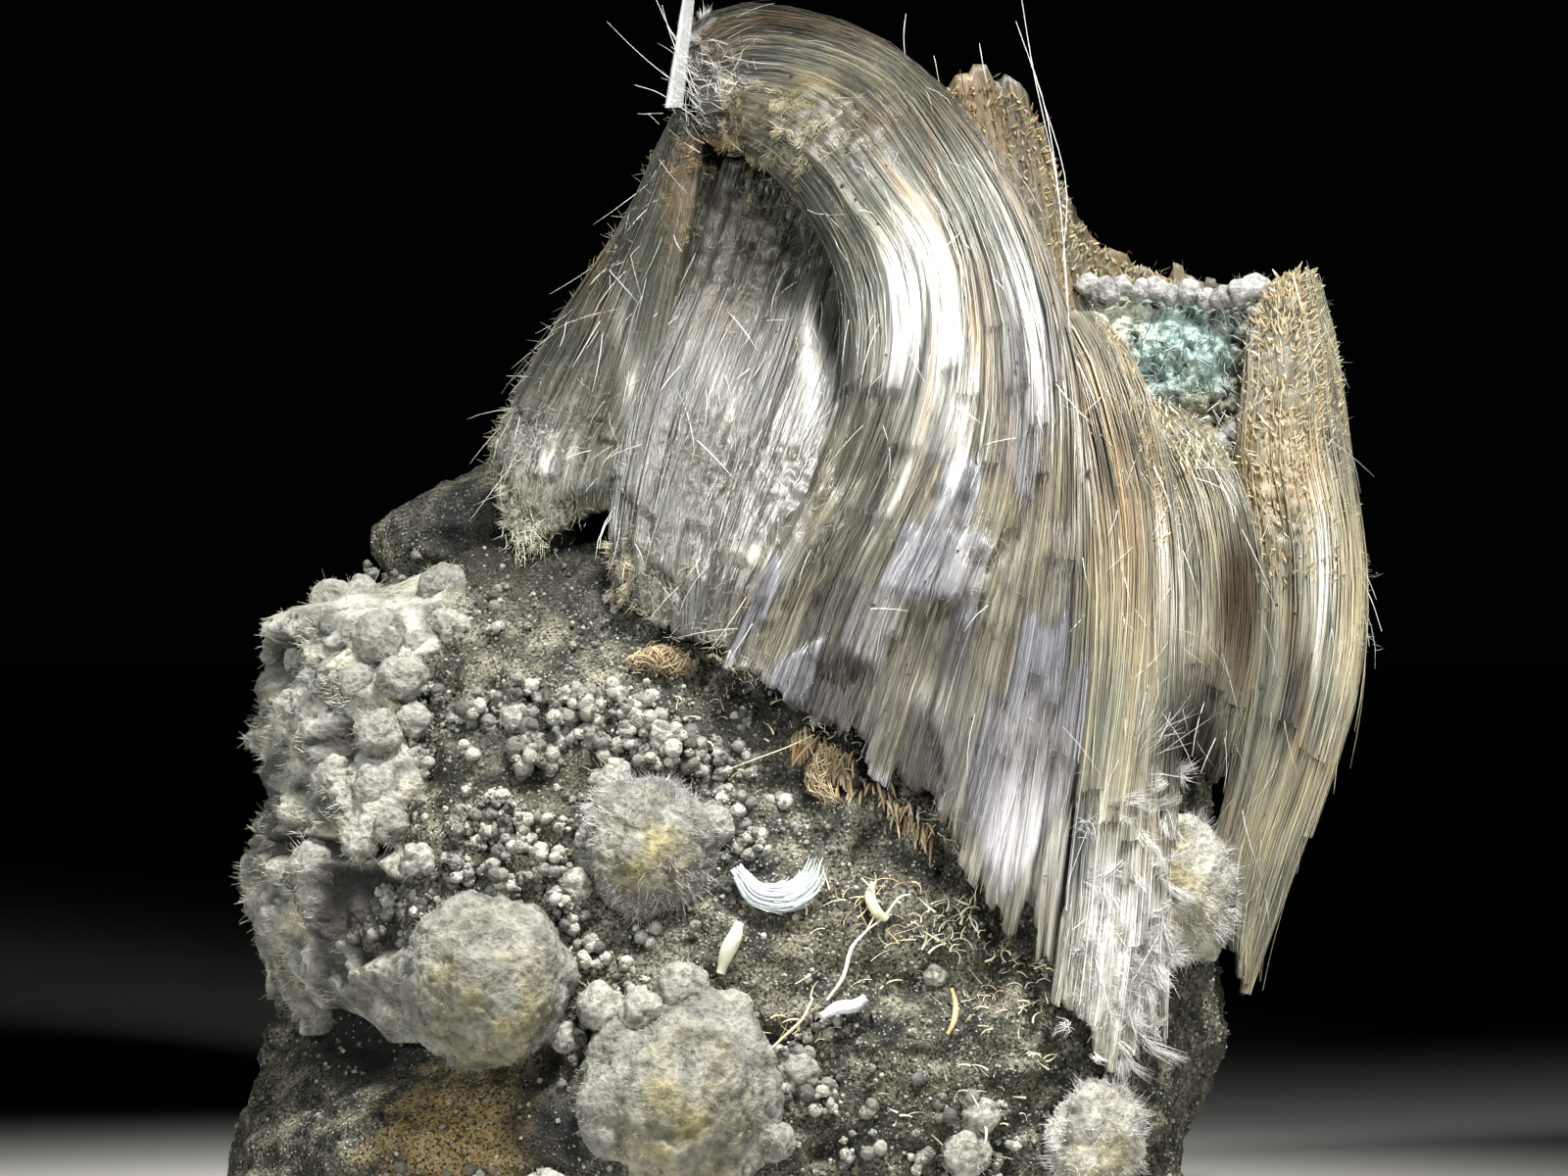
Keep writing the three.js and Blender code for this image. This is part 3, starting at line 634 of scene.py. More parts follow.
def addRock():
    turns = np.concatenate([np.linspace(0, 0.5, rock["backColumns"], endpoint=False),
                            np.linspace(0.5, 1, rock["frontColumns"], endpoint=False)])
    top = rock["tiers"][-1][0]
    z = np.linspace(0, top, rock["wallRows"])
    wall = rockSkin(turns[None, :], z[:, None])
    hold = np.clip(z / 1.5, 0, 1)[:, None, None]  # the foot stays on its flat break
    wall = wall + outward(turns)[None] * (rockRelief(wall)[..., None] * hold)
    share = np.linspace(1, 0, rock["topRows"] + 1)[1:-1]
    foot = np.array([*rock["centre"], 0.0])
    cap = foot + (wall[-1][None] - foot) * share[:, None, None]
    rise = 1.1 * (1 - share[:, None]) * (0.6 + lumps(cap[..., 0] / 3, cap[..., 1] / 3, 4.0))
    cap[..., 2] = top + rise + 0.2 * lumps(cap[..., 0] / 0.9, cap[..., 1] / 0.9, 2.0)
    rings = np.concatenate([wall, cap])
    sides, fans = tubeFaces(*rings.shape[:2])
    points = np.concatenate([rings.reshape(-1, 3), [foot, foot + [0, 0, top + 0.9]]])
    # the ledge behind the dome
    stations = np.array(rock["ledge"], float).T
    x = np.linspace(stations[0][0], stations[0][-1], 90)[:, None]
    angle = np.linspace(0, 2 * np.pi, 90, endpoint=False)[None, :]
    low, high, front, back = [np.interp(x, stations[0], stations[k]) for k in (1, 2, 3, 4)]
    swell = 1 + 0.12 * lumps(x / 2.2, np.cos(angle) * 2, np.sin(angle) * 2)
    y = (front + back) / 2 - np.sin(angle) * (back - front) / 2 * swell
    z = (low + high) / 2 - np.cos(angle) * (high - low) / 2 * swell
    slab = np.stack([np.broadcast_to(x, y.shape), y, z], -1)
    middle = np.stack([x, (front + back) / 2, (low + high) / 2], -1)
    slab = slab + unit(slab - middle) * (0.7 * rockRelief(slab)[..., None])
    slabSides, slabFans = tubeFaces(*slab.shape[:2], len(points), True)
    points = np.concatenate([points, slab.reshape(-1, 3), middle[[0, -1], 0]])
    faceSets = [np.concatenate(pair) for pair in ((sides, slabSides), (fans, slabFans))]
    mesh = buildMesh("hostRock", points, faceSets)
    addPiece("hostRock", mesh, "stone", ["matrix_rock"])


# Tresses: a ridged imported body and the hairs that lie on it

normalSteps = [0.14, 0.04]  # across and down the sheet
tresses = {
    "fibre_wall": {
        "locks": 13, "front": [1.6, 3, 3], "rear": [2, 3.6, 3.6], "ragged": [0.03, 0.02], "backGroove": 0.2,
        "guides": [
            [[-4.8, 3, 55.8], [-7.2, 4, 47], [-9.5, 5, 38], [-11, 5, 31]],
            [[-0.8, 3.2, 58.6], [-0.8, 4.2, 49.5], [-1.2, 3, 39.5], [-2, 1.6, 31]],
            [[6, 4.4, 58.6], [6.8, 4.6, 49], [6, 3, 39.5], [5, 1.4, 31]],
            [[11.6, 5.6, 58.6], [12.6, 6, 48.5], [12.4, 4.6, 38], [11.5, 2.8, 28]],
            [[15, 7.4, 51.6], [15.6, 7.8, 43.5], [15.9, 7, 35], [16, 5.6, 27]],
            [[18.8, 9, 49.6], [19.4, 9.6, 42], [19.8, 8.8, 34], [20, 7.4, 26]],
            [[22.8, 9.2, 48.2], [23.6, 9.4, 41], [24.2, 8.8, 33], [24.4, 7.6, 24.5]],
            [[26.7, 7.6, 48], [27.1, 7.4, 40.5], [27.2, 6, 32.5], [26.6, 4.6, 24.5]],
        ],
        "blocks": 46, "columns": 229, "rows": 65, "hairs": 800, "steps": 6,
        "fuzz": 2200, "level": 0.27, "felt": 0.8,
        "base": "cream", "second": "tan", "slot": "tan_fibre", "bothSides": True, "stray": 60,
    },
    "main_tress": {
        "locks": 13, "front": [1.3, 1.9, 1.2], "rear": [1.4, 1.8, 2.6, 2.6], "ragged": [0.01, 0.012],
        "guides": [
            [[-3.8, -0.8, 54.6], [-2, -1.8, 54], [-0.2, -3.2, 52.8], [1.5, -4.8, 50.8], [3, -6.6, 48],
             [3.6, -8.3, 44.8], [3, -10.2, 41], [1.2, -12.2, 36.8], [-1.4, -14.2, 32], [-3.4, -16, 27.4]],
            [[-4.2, -0.4, 56.2], [-1.8, -1.5, 56.4], [0.4, -3, 55.6], [2.7, -4.8, 53.7], [4.8, -6.8, 50.9],
             [6.7, -9, 47.5], [6.8, -11, 42.5], [5, -13.2, 37], [2.2, -15.4, 31.5], [0, -17.2, 26]],
            [[-4.6, 0.2, 57.8], [-1.9, -0.8, 58.5], [1, -1.9, 57.8], [4.3, -3.6, 56], [6.8, -6, 52.5],
             [8.8, -8.4, 48.2], [9.8, -11, 42.8], [9, -13.6, 37], [6.4, -16.2, 30.4], [4, -18.4, 22.6]],
            [[-4.9, 0.6, 59], [-2.1, 0.1, 59.8], [1.3, -0.7, 59], [4.8, -2.2, 57], [7.7, -4.6, 53.8],
             [10.2, -7.2, 49.5], [12, -10, 43.5], [12.2, -12.8, 37], [10.8, -16, 28.6], [8.4, -18.8, 17.6]],
            [[-5, 1.1, 59.9], [-2.3, 1.1, 60.8], [1.3, 0.7, 60], [5.3, -0.6, 57.6], [8.6, -3, 54.4],
             [11.2, -5.4, 50.2], [13.5, -8, 44.5], [14.9, -11, 37.5], [14.9, -14.6, 27.6],
              [12.9, -18.4, 11.8]],
        ],
        "blocks": 40, "columns": 301, "rows": 141, "hairs": 1500, "steps": 11,
        "fuzz": 2600, "level": 0.17, "felt": 0,
        "base": "silk", "second": "grey", "slot": "silky_fibre", "stray": 60,
        "terraces": [[0.64, 0.76, 0.4], [0.76, 0.86, 0.4], [0.86, 0.95, 0.4]],
        "blockwork": {"from": 0.66, "rows": 6, "across": 7.5, "step": 0.4, "rib": 0.3},
    },
    "hollow_wall": {
        "locks": 8, "front": [1.2, 1.8, 1.6], "rear": [2, 2.8, 2.6], "ragged": [0.02, 0.018],
        "guides": [
            [[-4.6, 0.4, 54], [-5.8, 0, 48], [-6.8, -1.4, 44.5], [-7.6, -3.6, 40.5], [-8.4, -6.8, 36],
             [-8.6, -9.8, 31.4]],
            [[-1.6, 0, 53.6], [-3, -1, 47.6], [-4.2, -2.8, 44], [-5.4, -5.4, 40], [-6.4, -8.8, 35.2],
             [-7, -11.6, 30.2]],
            [[1.5, -0.8, 52], [0, -2.2, 46.8], [-1.3, -4.2, 43], [-2.8, -7.2, 38.5], [-4.2, -10.6, 33.8],
             [-5, -13.4, 28.8]],
            [[5.8, -3.4, 50], [5.6, -5.2, 46], [4.8, -7.2, 42], [3.2, -9.8, 37.8], [0.6, -12.6, 32.8],
             [-2.4, -15, 27.4]],
        ],
        "blocks": 22, "columns": 169, "rows": 109, "hairs": 500, "steps": 8,
        "fuzz": 2900, "level": 0.1, "felt": 0.5,
        "base": "silk", "second": "dim", "slot": "grey_fibre", "stray": 60,
        "terraces": [[0.72, 0.9, 0.3]],
    },
    "left_curtain": {
        "locks": 6, "front": [1.2, 1.7, 1.4], "rear": [2.2, 3, 2.2], "ragged": [0.02, 0.02],
        "guides": [
            [[-5.2, 0.2, 56.4], [-7.5, 0, 51.2], [-10.2, -0.4, 47], [-12.8, -0.8, 42], [-14.3, -1.2, 39.8],
             [-14.6, -1.4, 38.2]],
            [[-4.8, 0, 56.2], [-6.4, -0.6, 51], [-8.4, -1.4, 46.5], [-10.5, -2.4, 42], [-12.2, -3.4, 38],
             [-12.9, -4.6, 34.2]],
            [[-3.9, -0.4, 56], [-4.5, -1.6, 51], [-5.5, -3, 46], [-6.7, -4.6, 41], [-7.8, -6, 38],
             [-8.4, -6.8, 35.6]],
        ],
        "blocks": 20, "columns": 141, "rows": 101, "hairs": 450, "steps": 8,
        "fuzz": 2600, "level": 0.21, "felt": 0.5,
        "base": "grey", "second": "dim", "slot": "grey_fibre", "stray": 50,
        "terraces": [[0.6, 0.85, 0.3]],
    },
    "tan_tress": {
        "locks": 7, "front": [1.4, 1.9, 1.4], "rear": [2.5, 3, 2], "ragged": [0.02, 0.02],
        "guides": [
            [[13.2, -4.8, 45.2], [14.5, -7.6, 40], [15.1, -10.2, 34.5], [14.9, -13, 27.5], [13.9, -15.8, 19],
             [12.9, -17.8, 10.4]],
            [[14.6, -3, 45.8], [16.6, -6, 40.6], [17.8, -8.4, 34.5], [17.6, -11.4, 27.5], [16.8, -14.6, 19],
             [15.8, -17.2, 7.6]],
            [[15.2, -1.6, 45.8], [17.6, -4.8, 41], [19.2, -7.2, 35.5], [19.2, -10, 28.5], [19.1, -13, 20],
             [18.8, -16, 8.8]],
        ],
        "blocks": 20, "columns": 141, "rows": 129, "hairs": 950, "steps": 9,
        "fuzz": 1800, "level": 0.34, "felt": 0.1,
        "base": "silk", "second": "cream", "slot": "tan_fibre", "stray": 60,
        "terraces": [[0.7, 0.9, 0.3]],
    },
    "hanging_tress": {
        "locks": 5, "front": [1.3, 1.9, 1], "rear": [1.8, 2.4, 1.4], "ragged": [0.02, 0.03],
        "guides": [
            [[16.4, -0.8, 41.2], [18.6, -3.6, 38.6], [19.8, -5.8, 35.2], [20, -7.4, 30.8], [19.5, -8.8, 27],
             [19, -9.6, 23.4]],
            [[17.4, 0, 41], [20, -2.6, 38.8], [21.5, -4.8, 35.2], [21.8, -6.4, 30.6], [21.3, -7.6, 26.2],
             [20.6, -8.4, 22]],
            [[18.4, 0.8, 40.6], [20.9, -1.2, 38.6], [22.5, -3.4, 35], [22.9, -5, 30.2], [22.5, -6.4, 25.8],
             [21.6, -7.2, 22]],
        ],
        "blocks": 14, "columns": 109, "rows": 89, "hairs": 750, "steps": 8,
        "fuzz": 900, "level": 0.32, "felt": 0,
        "base": "silk", "second": "cream", "slot": "silky_fibre", "stray": 30,
        "terraces": [[0.7, 0.92, 0.25]],
    },
    "right_tress": {
        "locks": 7, "front": [1.2, 1.6, 0.7], "rear": [2, 3, 1.2], "ragged": [0.02, 0.02],
        "guides": [
            [[24.4, 5.2, 46.4], [24, 3.4, 42], [23.5, 1.8, 38], [23.9, 0.6, 33.8], [23.9, -0.6, 29],
             [23, -1.8, 23.5], [21.8, -3, 18], [22, -3.8, 12.6]],
            [[25.4, 4.6, 47.8], [25.7, 2.6, 43], [25.4, 0.8, 38.5], [26, -0.6, 34], [25.8, -1.8, 29],
             [24.6, -2.8, 23.5], [23, -3.6, 18], [22.5, -4, 12]],
            [[26.4, 5.2, 48.4], [26.9, 3.4, 43], [27.1, 1.6, 38.5], [27.6, 0.2, 33.5], [27.4, -1, 28],
             [26.2, -2, 22.5], [24.4, -3, 17], [22.9, -3.6, 11.2]],
            [[27.1, 6, 48.2], [27.9, 4.6, 43], [28, 3.2, 38.5], [28.6, 2, 33], [28.2, 0.8, 27.5],
             [26.8, -0.4, 22.5], [25, -1.8, 17], [23, -3, 11]],
        ],
        "blocks": 14, "columns": 129, "rows": 129, "hairs": 800, "steps": 9,
        "fuzz": 1000, "level": 0.5, "felt": 0.3,
        "base": "silk", "second": "cream", "slot": "silky_fibre", "stray": 50,
        "terraces": [[0.6, 0.8, 0.2]],
    },
}

# Stains on the fibres as the front shows them, with painted highlights (the bright white ones on the main
# tress) and painted shade (the dark ones in the hole beside the hanging tress): x, z, half width, half
# height, tone, strength
stainsAndPaintedLight = [
    [-3.5, 59.7, 2.2, 1.2, "tan", 0.8],
    [0.2, 60.6, 3.4, 0.7, "ochre", 0.7],
    [4.2, 59.4, 2.4, 0.8, "tan", 0.55],
    [-2.6, 56, 0.8, 2.2, "brown", 0.9],
    [-3.4, 52.6, 0.9, 2.6, "brown", 0.8],
    [0.2, 56.4, 2.6, 1.6, "yolk", 1],
    [3.4, 57.6, 3.4, 1.6, "yolk", 0.9],
    [2.4, 54.4, 2.2, 1.8, "cream", 0.7],
    # darker in the hollow under the crown
    [1.2, 52.6, 1.4, 1.2, "dim", 0.8],
    [6.6, 55.6, 2.6, 2.2, "grey", 0.5],
    [7.4, 51.5, 0.6, 4.2, "tan", 0.9],
    [5, 55.6, 1.4, 0.8, "tan", 0.8],
    [9.4, 56.2, 2.2, 2, "tan", 0.75],
    [11.6, 53.4, 1.6, 3, "tan", 0.75],
    [13.6, 50, 1.4, 2.6, "cream", 0.7],
    # painted highlight on the main tress's bulge
    [12.2, 43.6, 2, 5, "white", 1],
    [9.8, 45.6, 0.7, 3.6, "tan", 0.8],
    # painted highlight on the main tress's bulge
    [7, 44.8, 2.6, 5, "white", 0.95],
    [4.4, 42.6, 0.8, 3.6, "grey", 0.5],
    [3.6, 35.6, 2, 2.2, "teal", 0.3],
    [-1.6, 31.6, 1, 0.8, "ochre", 0.7],
    [-1.8, 29.6, 2.4, 2.4, "cream", 0.55],
    [1.2, 31, 2.4, 1.2, "tan", 0.5],
    [3.6, 33.4, 1.2, 1.2, "brown", 0.4],
    [5.8, 26.6, 1.1, 1.3, "dirt", 0.95],
    [3.6, 29.6, 0.5, 1.6, "dirt", 0.8],
    [2.2, 31.2, 0.9, 0.8, "ochre", 0.8],
    [9.4, 24.4, 0.6, 1.4, "brown", 0.7],
    [8.2, 30, 4.5, 3.4, "cream", 0.5],
    [12.2, 19, 3, 3.4, "lilac", 0.85],
    [9, 36.5, 3, 4, "grey", 0.6],
    [13, 36, 1.4, 5, "tan", 0.3],
    [7.6, 33, 1.6, 1.3, "dim", 0.7],
    [9.2, 30.4, 1.2, 1.5, "dim", 0.7],
    [11.6, 27, 3, 2.6, "cream", 0.7],
    [16.4, 38.5, 2.8, 6, "tan", 0.6],
    [18, 33, 1.6, 4, "tan", 0.45],
    [16.6, 14, 3, 5, "white", 0.8],
    [22.8, 31, 1.2, 5, "brown", 0.95],
    # painted shade in the dark hole beside the hanging tress
    [20.4, 25.4, 2, 3, "dirt", 0.85],
    [26, 27.5, 0.8, 4.6, "ochre", 0.6],
    [25.6, 39, 2.2, 3.4, "tan", 0.6],
    [27.5, 42, 1.6, 2.6, "cream", 0.6],
    [-9.4, 47.5, 0.9, 2.4, "tan", 0.5],
    [-5.4, 52, 1, 2.6, "tan", 0.5],
    [-3.6, 45.4, 2.4, 1.8, "tan", 0.4],
    # darker and olive in the hollow under the crown
    [-2, 49.6, 2.2, 2.4, "olive", 0.6],
    [-4.6, 42, 3, 3.4, "puff", 0.7],
    # painted shade in the dark hole beside the hanging tress, with the line after it
    [19.9, 24.2, 1.5, 3.2, "dirt", 1],
    [20.8, 22.8, 1.6, 1.8, "dirt", 0.9],
    [21, 36, 1.6, 3, "cream", 0.6],
    [-12.6, 39.4, 1.8, 2, "white", 0.6],
]

# Painted silky highlights (gleams), streaked along the fibres: x, z, half width, half height, lean, strength
gleams = [
    [1.2, 57.4, 4.6, 2.4, 0, 0.18], [12.4, 45.4, 1.5, 5.4, 0.22, 1], [7, 46.4, 1.9, 4.6, -0.1, 1],
    [9.2, 43, 1.4, 5, 0, 0.6], [11, 50.6, 0.9, 3.4, 0.5, 0.6], [5.6, 37.6, 0.7, 3, -0.4, 0.7],
    [9, 38.6, 0.5, 2.6, -0.5, 0.8], [-3.4, 42.6, 0.9, 2, 0.3, 0.6], [1.2, 44.4, 0.4, 3.6, 0.05, 0.7],
    [-11.6, 38.4, 1.4, 1.1, 0, 0.7], [-8, 44, 0.5, 4, 0.1, 0.5], [19.4, 33.4, 1.2, 4, 0.1, 0.6],
    [14.4, 40, 0.7, 4, 0.3, 0.6], [27.4, 31.4, 0.8, 5, 0, 0.7], [12.4, 20, 2, 3, -0.3, 0.6],
    [16.4, 14, 2.6, 4.6, 0, 0.8], [-1.4, 33.6, 1.2, 0.5, 0.5, 0.6], [7, 26.8, 1.4, 1, 0.4, 0.35],
]

# Tan veins that follow the flow: x, z, half width, half height, lean, strength
veins = [
    [6.4, 51.4, 0.5, 3.4, 0.78, 0.9], [9.2, 45.6, 0.4, 4, 0.25, 0.8], [12.4, 48.8, 0.5, 3.6, 0.42, 0.8],
    [15.4, 41, 0.8, 5, 0.3, 0.7], [7.2, 43, 0.3, 3.6, -0.1, 0.6], [2.6, 57.6, 2.6, 0.5, 0.2, 0.6],
    [11, 40, 0.4, 4, 0, 0.5], [-3.4, 46.4, 0.4, 2, 0.8, 0.6],
]

# Where the fibres are matted into felt: x, z, half width, half height
mattedPlaces = [
    [2.4, 55, 3.6, 2.4], [-1.6, 49.6, 2.6, 3], [-6.6, 32.6, 2, 2], [-1.8, 28.4, 2.2, 1.8], [1, 36, 2, 2.4],
    [-3.6, 38, 2.4, 2.4], [-12.8, 40.4, 2.2, 2.4], [-13, 35, 1.4, 1.8], [9.6, 33.4, 2.2, 2.4],
    [12.6, 24.4, 2, 2], [16.6, 13.6, 3, 3.6], [8.2, 20.4, 1.6, 2.2], [26.4, 43.6, 2.4, 4.6],
    [25, 36, 1.6, 3.4], [19, 39.4, 2, 1.6],
]


def mattedShare(spec, points):
    share = np.max([near(points, *place) for place in mattedPlaces], 0)
    patchy = 0.35 * lumpsAt(points, 1.1)
    return np.clip(share * 1.7 - 0.4 + patchy * (share > 0.2) + spec["felt"], 0, 1)


def stained(points, tones, streak):
    # tones with the stains, painted highlights and painted shade mixed in; streak, from -1 to 1, draws their
    # edges out along the fibres
    for *place, name, strength in stainsAndPaintedLight:
        share = np.clip(near(points, *place) * (1.35 + 1.3 * streak) - 0.22, 0, 1) * strength
        tones = blended(tones, palette[name], share)
    return tones


def strongest(points, places):
    # the strongest of some gleams or veins at each point
    return np.max([strength * near(points, *place) for *place, strength in places], 0)


def guideTable(spec, u, v):
    guides = np.array(spec["guides"], float)
    across = curveWeights(u, guides.shape[0])
    down = curveWeights(v, guides.shape[1])
    return np.einsum("nu,nv,uvk->nk", across, down, guides).reshape(*np.shape(u), 3)


def guideOut(spec, u, v):
    wide, step = normalSteps
    down = guideTable(spec, u, np.minimum(v + step, 1)) - guideTable(spec, u, np.maximum(v - step, 0))
    across = guideTable(spec, np.minimum(u + wide, 1), v) - guideTable(spec, np.maximum(u - wide, 0), v)
    return unit(np.cross(down, across))


def sheetSize(spec):
    # mean width and length of the fan
    guides = np.array(spec["guides"], float)
    wide = np.linalg.norm(np.diff(guides, axis=0), axis=-1).sum(0)[1:].mean()
    return wide, np.linalg.norm(np.diff(guides, axis=1), axis=-1).sum(1).mean()


def flowNoise(spec, u, v, across, along, seed):
    # irregularity drawn out along the fibres, its cells across and along in millimetres
    wide, tall = sheetSize(spec)
    return lumps(u * wide / across, v * tall / along, seed)


def lockEnds(spec, u):
    # where the fibres of each little block begin and end
    block = np.floor(u * spec["blocks"])
    wide = np.floor(u * spec["blocks"] * 0.31 + 0.4 * lumps(u * 9, 1.0, 2.0))
    first = spec["ragged"][0] * (1 + scatter(block, 5.0))
    last = 1 - spec["ragged"][1] * (1.25 + 0.8 * scatter(wide, 6.0) + 0.4 * scatter(block, 8.0))
    return first, last


def terraceEnds(spec, u):
    # where each outer layer breaks off in its block, and how thick the layer is
    ends = []
    for k, (near, far, depth) in enumerate(spec.get("terraces", [])):
        block = np.floor((u + 0.02 * lumps(u * 11, 1.0, 3.0 + k)) * spec["blocks"] * (0.3 + 0.08 * k))
        ends.append((near + (far - near) * (0.5 + 0.5 * scatter(block, 11.0 + k)), depth))
    return ends


def blockCells(spec, u, v):
    # the little blocks at the foot: where a point lies in its block, the block's luck, and 1 where they are
    b = spec["blockwork"]
    height = (1 - b["from"]) / b["rows"]
    down = (v - b["from"]) / height + 0.8 * lumps(u * 7, 1.0, 9.0)
    row = np.floor(down)
    across = u * b["across"] + 0.37 * row + 0.25 * lumps(v * 9, u * 5, 3.0)
    block = np.floor(across)
    return across - block, down - row, scatter(block, row, 3.0), np.clip((v - b["from"]) / 0.12, 0, 1)


def frontLift(spec, u, e, v):
    s = u * spec["locks"]
    index = np.minimum(np.floor(s), spec["locks"] - 1)
    ridge = 1 - np.abs(2 * (s - index) - 1)
    proud = 0.74 + 0.14 * ridge + 0.16 * ridge * scatter(index, 3.0)
    rim = np.minimum(1, 0.35 + 5 * np.minimum(u, 1 - u)) * np.minimum(1, 0.5 + 5 * (0.5 - np.abs(e - 0.5)))
    hollowed = 1 - spec.get("backGroove", 0) * (1 - ridge)
    front = alongList(spec["front"], v) * rim * proud
    if "blockwork" in spec:
        _, _, luck, here = blockCells(spec, u, v)
        front = front + spec["blockwork"]["step"] * 0.5 * (luck - 0.6) * here
    return front, alongList(spec["rear"], v) * rim * hollowed


def surfaceLift(spec, u, v):
    # the outermost layer in front of the guides, and the back behind them
    lift, rear = frontLift(spec, u, v, v)
    for at, depth in terraceEnds(spec, u):
        lift = lift - depth * (np.clip((v - at) / 0.005, 0, 1) - 0.5)
    return lift, rear


def fibreRelief(spec, u, v, seed):
    return (0.2 * flowNoise(spec, u, v, 1.7, 7, seed) + 0.06 * flowNoise(spec, u, v, 0.5, 5, seed + 2)
            + 0.03 * flowNoise(spec, u, v, 0.18, 3, seed + 4))


def onSurface(spec, u, v, proud):
    # points that stand proud of a tress's front
    return guideTable(spec, u, v) + guideOut(spec, u, v) * (surfaceLift(spec, u, v)[0] + proud)[..., None]


def flowWays(spec, u, v, behind, ahead):
    # the ways out of a tress, down its flow and across it
    low, high = np.maximum(v - behind, 0), np.minimum(v + ahead, 1)
    down = unit(guideTable(spec, u, high) - guideTable(spec, u, low))
    out = guideOut(spec, u, v)
    return out, down, np.cross(out, down)


def fibreTones(spec, points, u, v, seed, own):
    # soft translucent patches, bands across the flow, fine streaks and painted highlights; own is a hair's
    # own luck
    patch = flowNoise(spec, u, v, 1.9, 4, seed + 26) + 0.6 * flowNoise(spec, u, v, 0.9, 2.2, seed + 28)
    broad = flowNoise(spec, u, v, 1.3, 12, seed + 20)
    narrow = flowNoise(spec, u, v, 0.3, 8, seed + 22)
    fine = flowNoise(spec, u, v, 0.12, 3, seed + 24)
    band = np.clip(flowNoise(spec, u, v, 3.5, 1.1, seed + 30) * 2 - 0.55, 0, 1)
    second = np.clip(0.45 + 0.9 * patch + 0.3 * narrow, 0, 1)
    tones = blended(palette[spec["base"]], palette[spec["second"]], second)
    tones = blended(tones, palette["cream"], 0.65 * band)
    tones = stained(points, tones, np.clip(0.5 * broad + 0.45 * narrow + 0.5 * own, -1, 1))
    if "blockwork" in spec:
        aside, below, luck, here = blockCells(spec, u, v)
        tones = blended(tones, palette["cream"], 0.6 * here)
        tones = blended(tones, palette["lilac"], 0.95 * np.clip(luck * 1.8 - 0.3, 0, 1) * here)
        rib = np.sin(u * sheetSize(spec)[0] * 2 * np.pi / spec["blockwork"]["rib"])
        tones = tones * (1 + here * (0.5 * luck + 0.2 * rib + 0.05))[..., None]
        gap = here * (((aside < 0.05) | (below > 0.92)) & (luck > -0.6)) + here * (luck < -0.85)
        tones = blended(tones, palette["brown"] * 0.5, 0.7 * np.clip(gap, 0, 1))
    # painted highlight: the fibres whitened and brightened where the gleams lie
    paintedHighlight = strongest(points, gleams) * np.clip(0.75 + 0.9 * narrow + 1.1 * fine + 0.5 * own, 0, 1.4)
    tones = blended(tones, palette["white"], np.clip(paintedHighlight, 0, 1))
    vein = strongest(points, veins) * np.clip(0.8 + 0.9 * narrow + 0.6 * fine, 0, 1)
    tones = blended(tones, palette["tan"], vein)
    level = 0.92 + 0.6 * patch + 0.2 * broad + 0.36 * narrow + 0.42 * fine + 0.4 * band + 0.45 * own
    return tones * np.clip(level * spec["level"] + 0.75 * paintedHighlight + 0.16 * vein, 0.06, 1.2)[..., None]


def addTress(number, name, spec):
    rows, columns = spec["rows"], spec["columns"]
    u = np.broadcast_to(np.linspace(0, 1, columns)[None, :], (rows, columns))
    e = np.broadcast_to(np.linspace(0, 1, rows)[:, None], (rows, columns))
    first, last = lockEnds(spec, u)
    v = first + (last - first) * e
    lift, rear = frontLift(spec, u, e, v)
    middle, out = guideTable(spec, u, v), guideOut(spec, u, v)
    felt = mattedShare(spec, middle + out)
    felted = 0.34 * knobs(middle, 0.9, 2.0) + 0.12 * lumpsAt(middle, 0.35) - 0.12
    relief = fibreRelief(spec, u, v, number * 3.7) * (1 - 0.75 * felt) + felted * felt
    drop, brownGapAndShade = np.zeros(u.shape), np.zeros(u.shape)
    for at, depth in terraceEnds(spec, u):
        past = v - at
        drop = drop + depth * (np.clip(past / 0.005, 0, 1) - 0.5)
        brownGapAndShade = np.maximum(brownGapAndShade, np.where(past > -0.002, np.exp(-np.abs(past) / 0.016), 0))
    front = middle + out * (lift - 0.1 + relief - drop)[..., None]
    back = middle.copy()
    back[..., 1] += rear + fibreRelief(spec, u, v, number * 3.7 + 9)
    points, u, v, flat = [bothSides(*pair) for pair in ((front, back), (u, u), (v, v), (felt, felt))]
    tones = fibreTones(spec, points, u, v, number * 3.7, 0.0)
    # the brown gap at each terrace's break, darkened further as painted shade in the step
    tones = blended(tones, palette["brown"] * 0.25, bothSides(brownGapAndShade, 0 * brownGapAndShade) * 0.55)
    tones = blended(tones, palette["cream"] * spec["level"], flat * 0.3)
    shade = 0.85 + 0.3 * lumpsAt(points, 1.7) * flat * 0.6
    tones = np.clip(tones * shade[:, None], 0.004, 0.95)
    flow = np.stack([u * spec["locks"] / 13, v], 1)
    mesh = buildMesh(name, points, shellFaces(rows, columns), tones, flow)
    addPiece(name + "_body", mesh, "core", [name])
    addCombedHairs(number, name, spec)
    addFuzz(number, name, spec)


